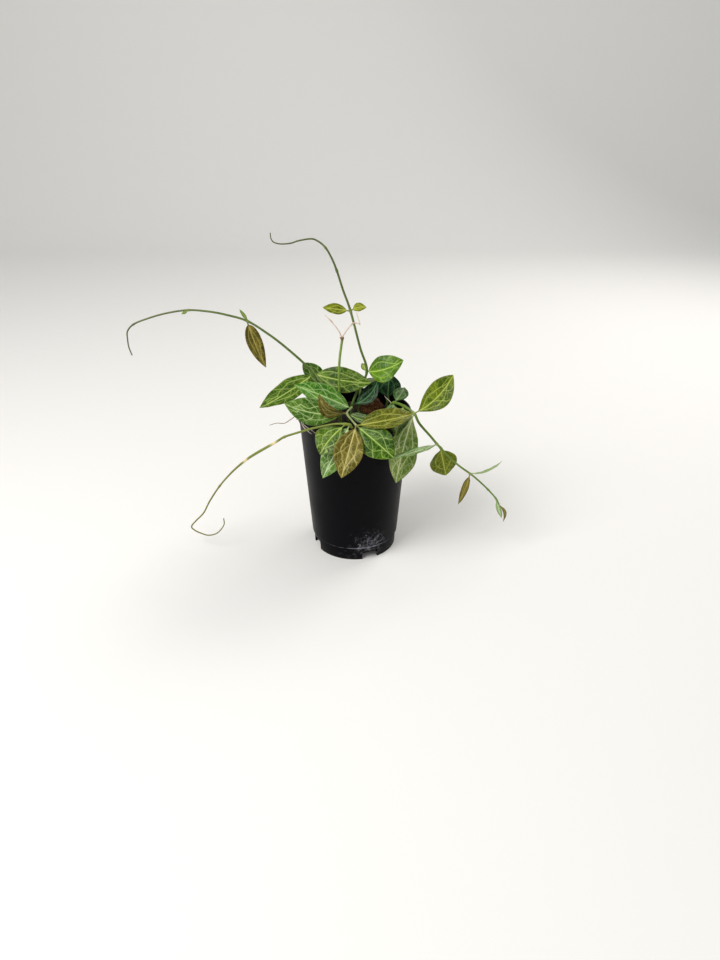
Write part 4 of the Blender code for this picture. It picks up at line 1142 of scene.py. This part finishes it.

# %% [markdown]
# ### Bark, with painted shade
#
# Composted pine bark holds water and is dark brown, and some chips are browner than others. Its darkest tone
# is near black, painted shade for the shadow under the leaves. Each cell of 4 mm gets its own brown, broken
# up by fibres. Real fibres are finer than the picture can show, so they are drawn a little over a millimetre
# wide.

# %% Bark in place
BARK_CELLS, BARK_FIBRES, BARK_CONTRAST = 0.23 * PER_MM, 0.8 * PER_MM, 1.1
CHIP_SPACING, CHIP_RADIUS, WALL_CLEARANCE = 2.3, 1.5, 5
bark, tree, shader = new_material("damp_bark_chips", 0.8)
where = add(tree, "ShaderNodeTexCoord").outputs["Object"]
cells = add(tree, "ShaderNodeTexVoronoi", where, into={"Scale": BARK_CELLS})
fibres = add(tree, NOISE, where, into={"Scale": BARK_FIBRES, "Detail": 5.0, "Roughness": 0.7})
brown = add(tree, "ShaderNodeSeparateColor", cells.outputs["Color"]).outputs["Red"]
tone = add(tree, MATH, brown, fibres, operation="MULTIPLY")
tone = add(tree, MATH, tone, BARK_CONTRAST, operation="MULTIPLY", use_clamp=True)
# From near-black painted shade up to the bark's own brown.
colour = add(tree, MIX, tone, linear("#070504"), linear("#52392a"), data_type="RGBA")
fill(tree, shader.inputs["Base Color"], colour)
bump = add(tree, "ShaderNodeBump", into={"Strength": 0.8, "Distance": 0.6 * MM, "Height": fibres})
fill(tree, shader.inputs["Normal"], bump)
grow(plug, chip_group, Axis=(POT_AXIS.x, POT_AXIS.y, 0.0), Reach=(top_radius - WALL_CLEARANCE) * MM,
     Spacing=CHIP_SPACING * MM, Size=CHIP_RADIUS * MM, Lowest=(MIX_TOP - 2) * MM, Seed=7, Finish=bark)
declare(plug, "mix", "potting_mix")
print("mix:", len(plug.data.polygons), "faces")

# %% [markdown]
# ### The lump of coir
#
# A lump of pressed coir lies on the mix: red-brown, crumbly, with short fibres that catch the light. Its
# solid already has the right outline, so a copy of it is merged, divided finely and roughened at two sizes,
# clods of 7 mm and crumbs of 1 mm, and its brown changes in flecks of a millimetre and a half. Short hairs
# are then set on its skin. Real fibres are some tenths of a millimetre thick. These are 0.14 mm, with about
# one to a square millimetre.

# %% Coir group: the crumbly lump
CLODS, CLOD_HEIGHT = 0.15 * PER_MM, 4.5 * MM
CRUMBS, CRUMB_HEIGHT = 1.1 * PER_MM, 3.4 * MM
coir_group, given, end = new_group("Coir", Hair_Length="Float", Seed="Int", Finish="Material")
g = coir_group
lump = add(g, "GeometryNodeSubdivisionSurface", given.outputs["Geometry"], 3)
where = add(g, "GeometryNodeInputPosition")
coarse = add(g, "ShaderNodeTexVoronoi", where, into={"Scale": CLODS})
fine = add(g, NOISE, where, into={"Scale": CRUMBS, "Detail": 3.0})
push = add(g, MATH, add(g, MATH, coarse, 0.5, operation="SUBTRACT"), -CLOD_HEIGHT, operation="MULTIPLY")
fine = add(g, MATH, fine, 0.5, operation="SUBTRACT")
push = add(g, MATH, fine, CRUMB_HEIGHT, push, operation="MULTIPLY_ADD")
push = add(g, VECTOR, add(g, "GeometryNodeInputNormal"), into={"Scale": push}, operation="SCALE")
lump = add(g, "GeometryNodeSetPosition", lump, into={"Offset": push})

# %% Coir group: the hairs
HAIR_SPACING, HAIR_RADIUS = 0.9 * MM, 0.07 * MM
LEAST_TILT, MOST_TILT = (-1.1, -1.1, 0.0), (1.1, 1.1, 6.28)
SHORTEST_HAIR, LONGEST_HAIR = (0.5, 0.5, 0.4), (1.2, 1.2, 1.5)
points = add(g, "GeometryNodeDistributePointsOnFaces", lump, distribute_method="POISSON", into={
    "Distance Min": HAIR_SPACING, "Density Max": DENSEST, "Seed": given.outputs["Seed"]})
hair_end = add(g, XYZ, 0.0, 0.0, given.outputs["Hair Length"])
hair = add(g, "GeometryNodeCurvePrimitiveLine", (0, 0, 0), hair_end)
section = add(g, "GeometryNodeCurvePrimitiveCircle", 3, HAIR_RADIUS)
hair = add(g, "GeometryNodeCurveToMesh", hair, section, into={"Fill Caps": True})
tilt, scaled = (
    add(g, "FunctionNodeRandomValue", least, most, data_type="FLOAT_VECTOR", into={"Seed": seed})
    for least, most, seed in ((LEAST_TILT, MOST_TILT, 3), (SHORTEST_HAIR, LONGEST_HAIR, 4)))
tilt = add(g, "FunctionNodeEulerToRotation", tilt)
lean = add(g, "FunctionNodeRotateRotation", points.outputs["Rotation"], tilt, rotation_space="LOCAL")
hairs = add(g, "GeometryNodeInstanceOnPoints", points, into={
    "Instance": hair, "Rotation": lean, "Scale": scaled})
whole = add(g, "GeometryNodeJoinGeometry", hairs)
fill(g, whole.inputs[0], lump)
whole = add(g, "GeometryNodeRealizeInstances", whole)
whole = add(g, "GeometryNodeSetMaterial", whole, into={"Material": given.outputs["Finish"]})
fill(g, end.inputs[0], whole)
print("coir group:", len(g.nodes), "nodes")

# %% Coir in place
COIR_FLECKS, HAIR_LENGTH = 0.7 * PER_MM, 1.6
coir, tree, shader = new_material("pressed_coir", 0.95)
where = add(tree, "ShaderNodeTexCoord").outputs["Object"]
crumbs = add(tree, NOISE, where, into={"Scale": COIR_FLECKS, "Detail": 6.0, "Roughness": 0.75})
tone = add(tree, RANGE, crumbs, 0.34, 0.68, 0.0, 1.0)
colour = add(tree, MIX, tone, linear("#38200f"), linear("#a46e46"), data_type="RGBA")
fill(tree, shader.inputs["Base Color"], colour)

bm = bmesh.new()
bm.from_mesh(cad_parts["coir_lump"].data)
bmesh.ops.remove_doubles(bm, verts=bm.verts, dist=0.001 * MM)
lump_mesh = bpy.data.meshes.new("coir_lump_look")
bm.to_mesh(lump_mesh)
bm.free()
lump = new_piece("coir_lump_look", lump_mesh)
grow(lump, coir_group, Hair_Length=HAIR_LENGTH * MM, Seed=11, Finish=coir)
declare(lump, "coir", "coir_lump")
print("coir:", len(lump.data.polygons), "faces")
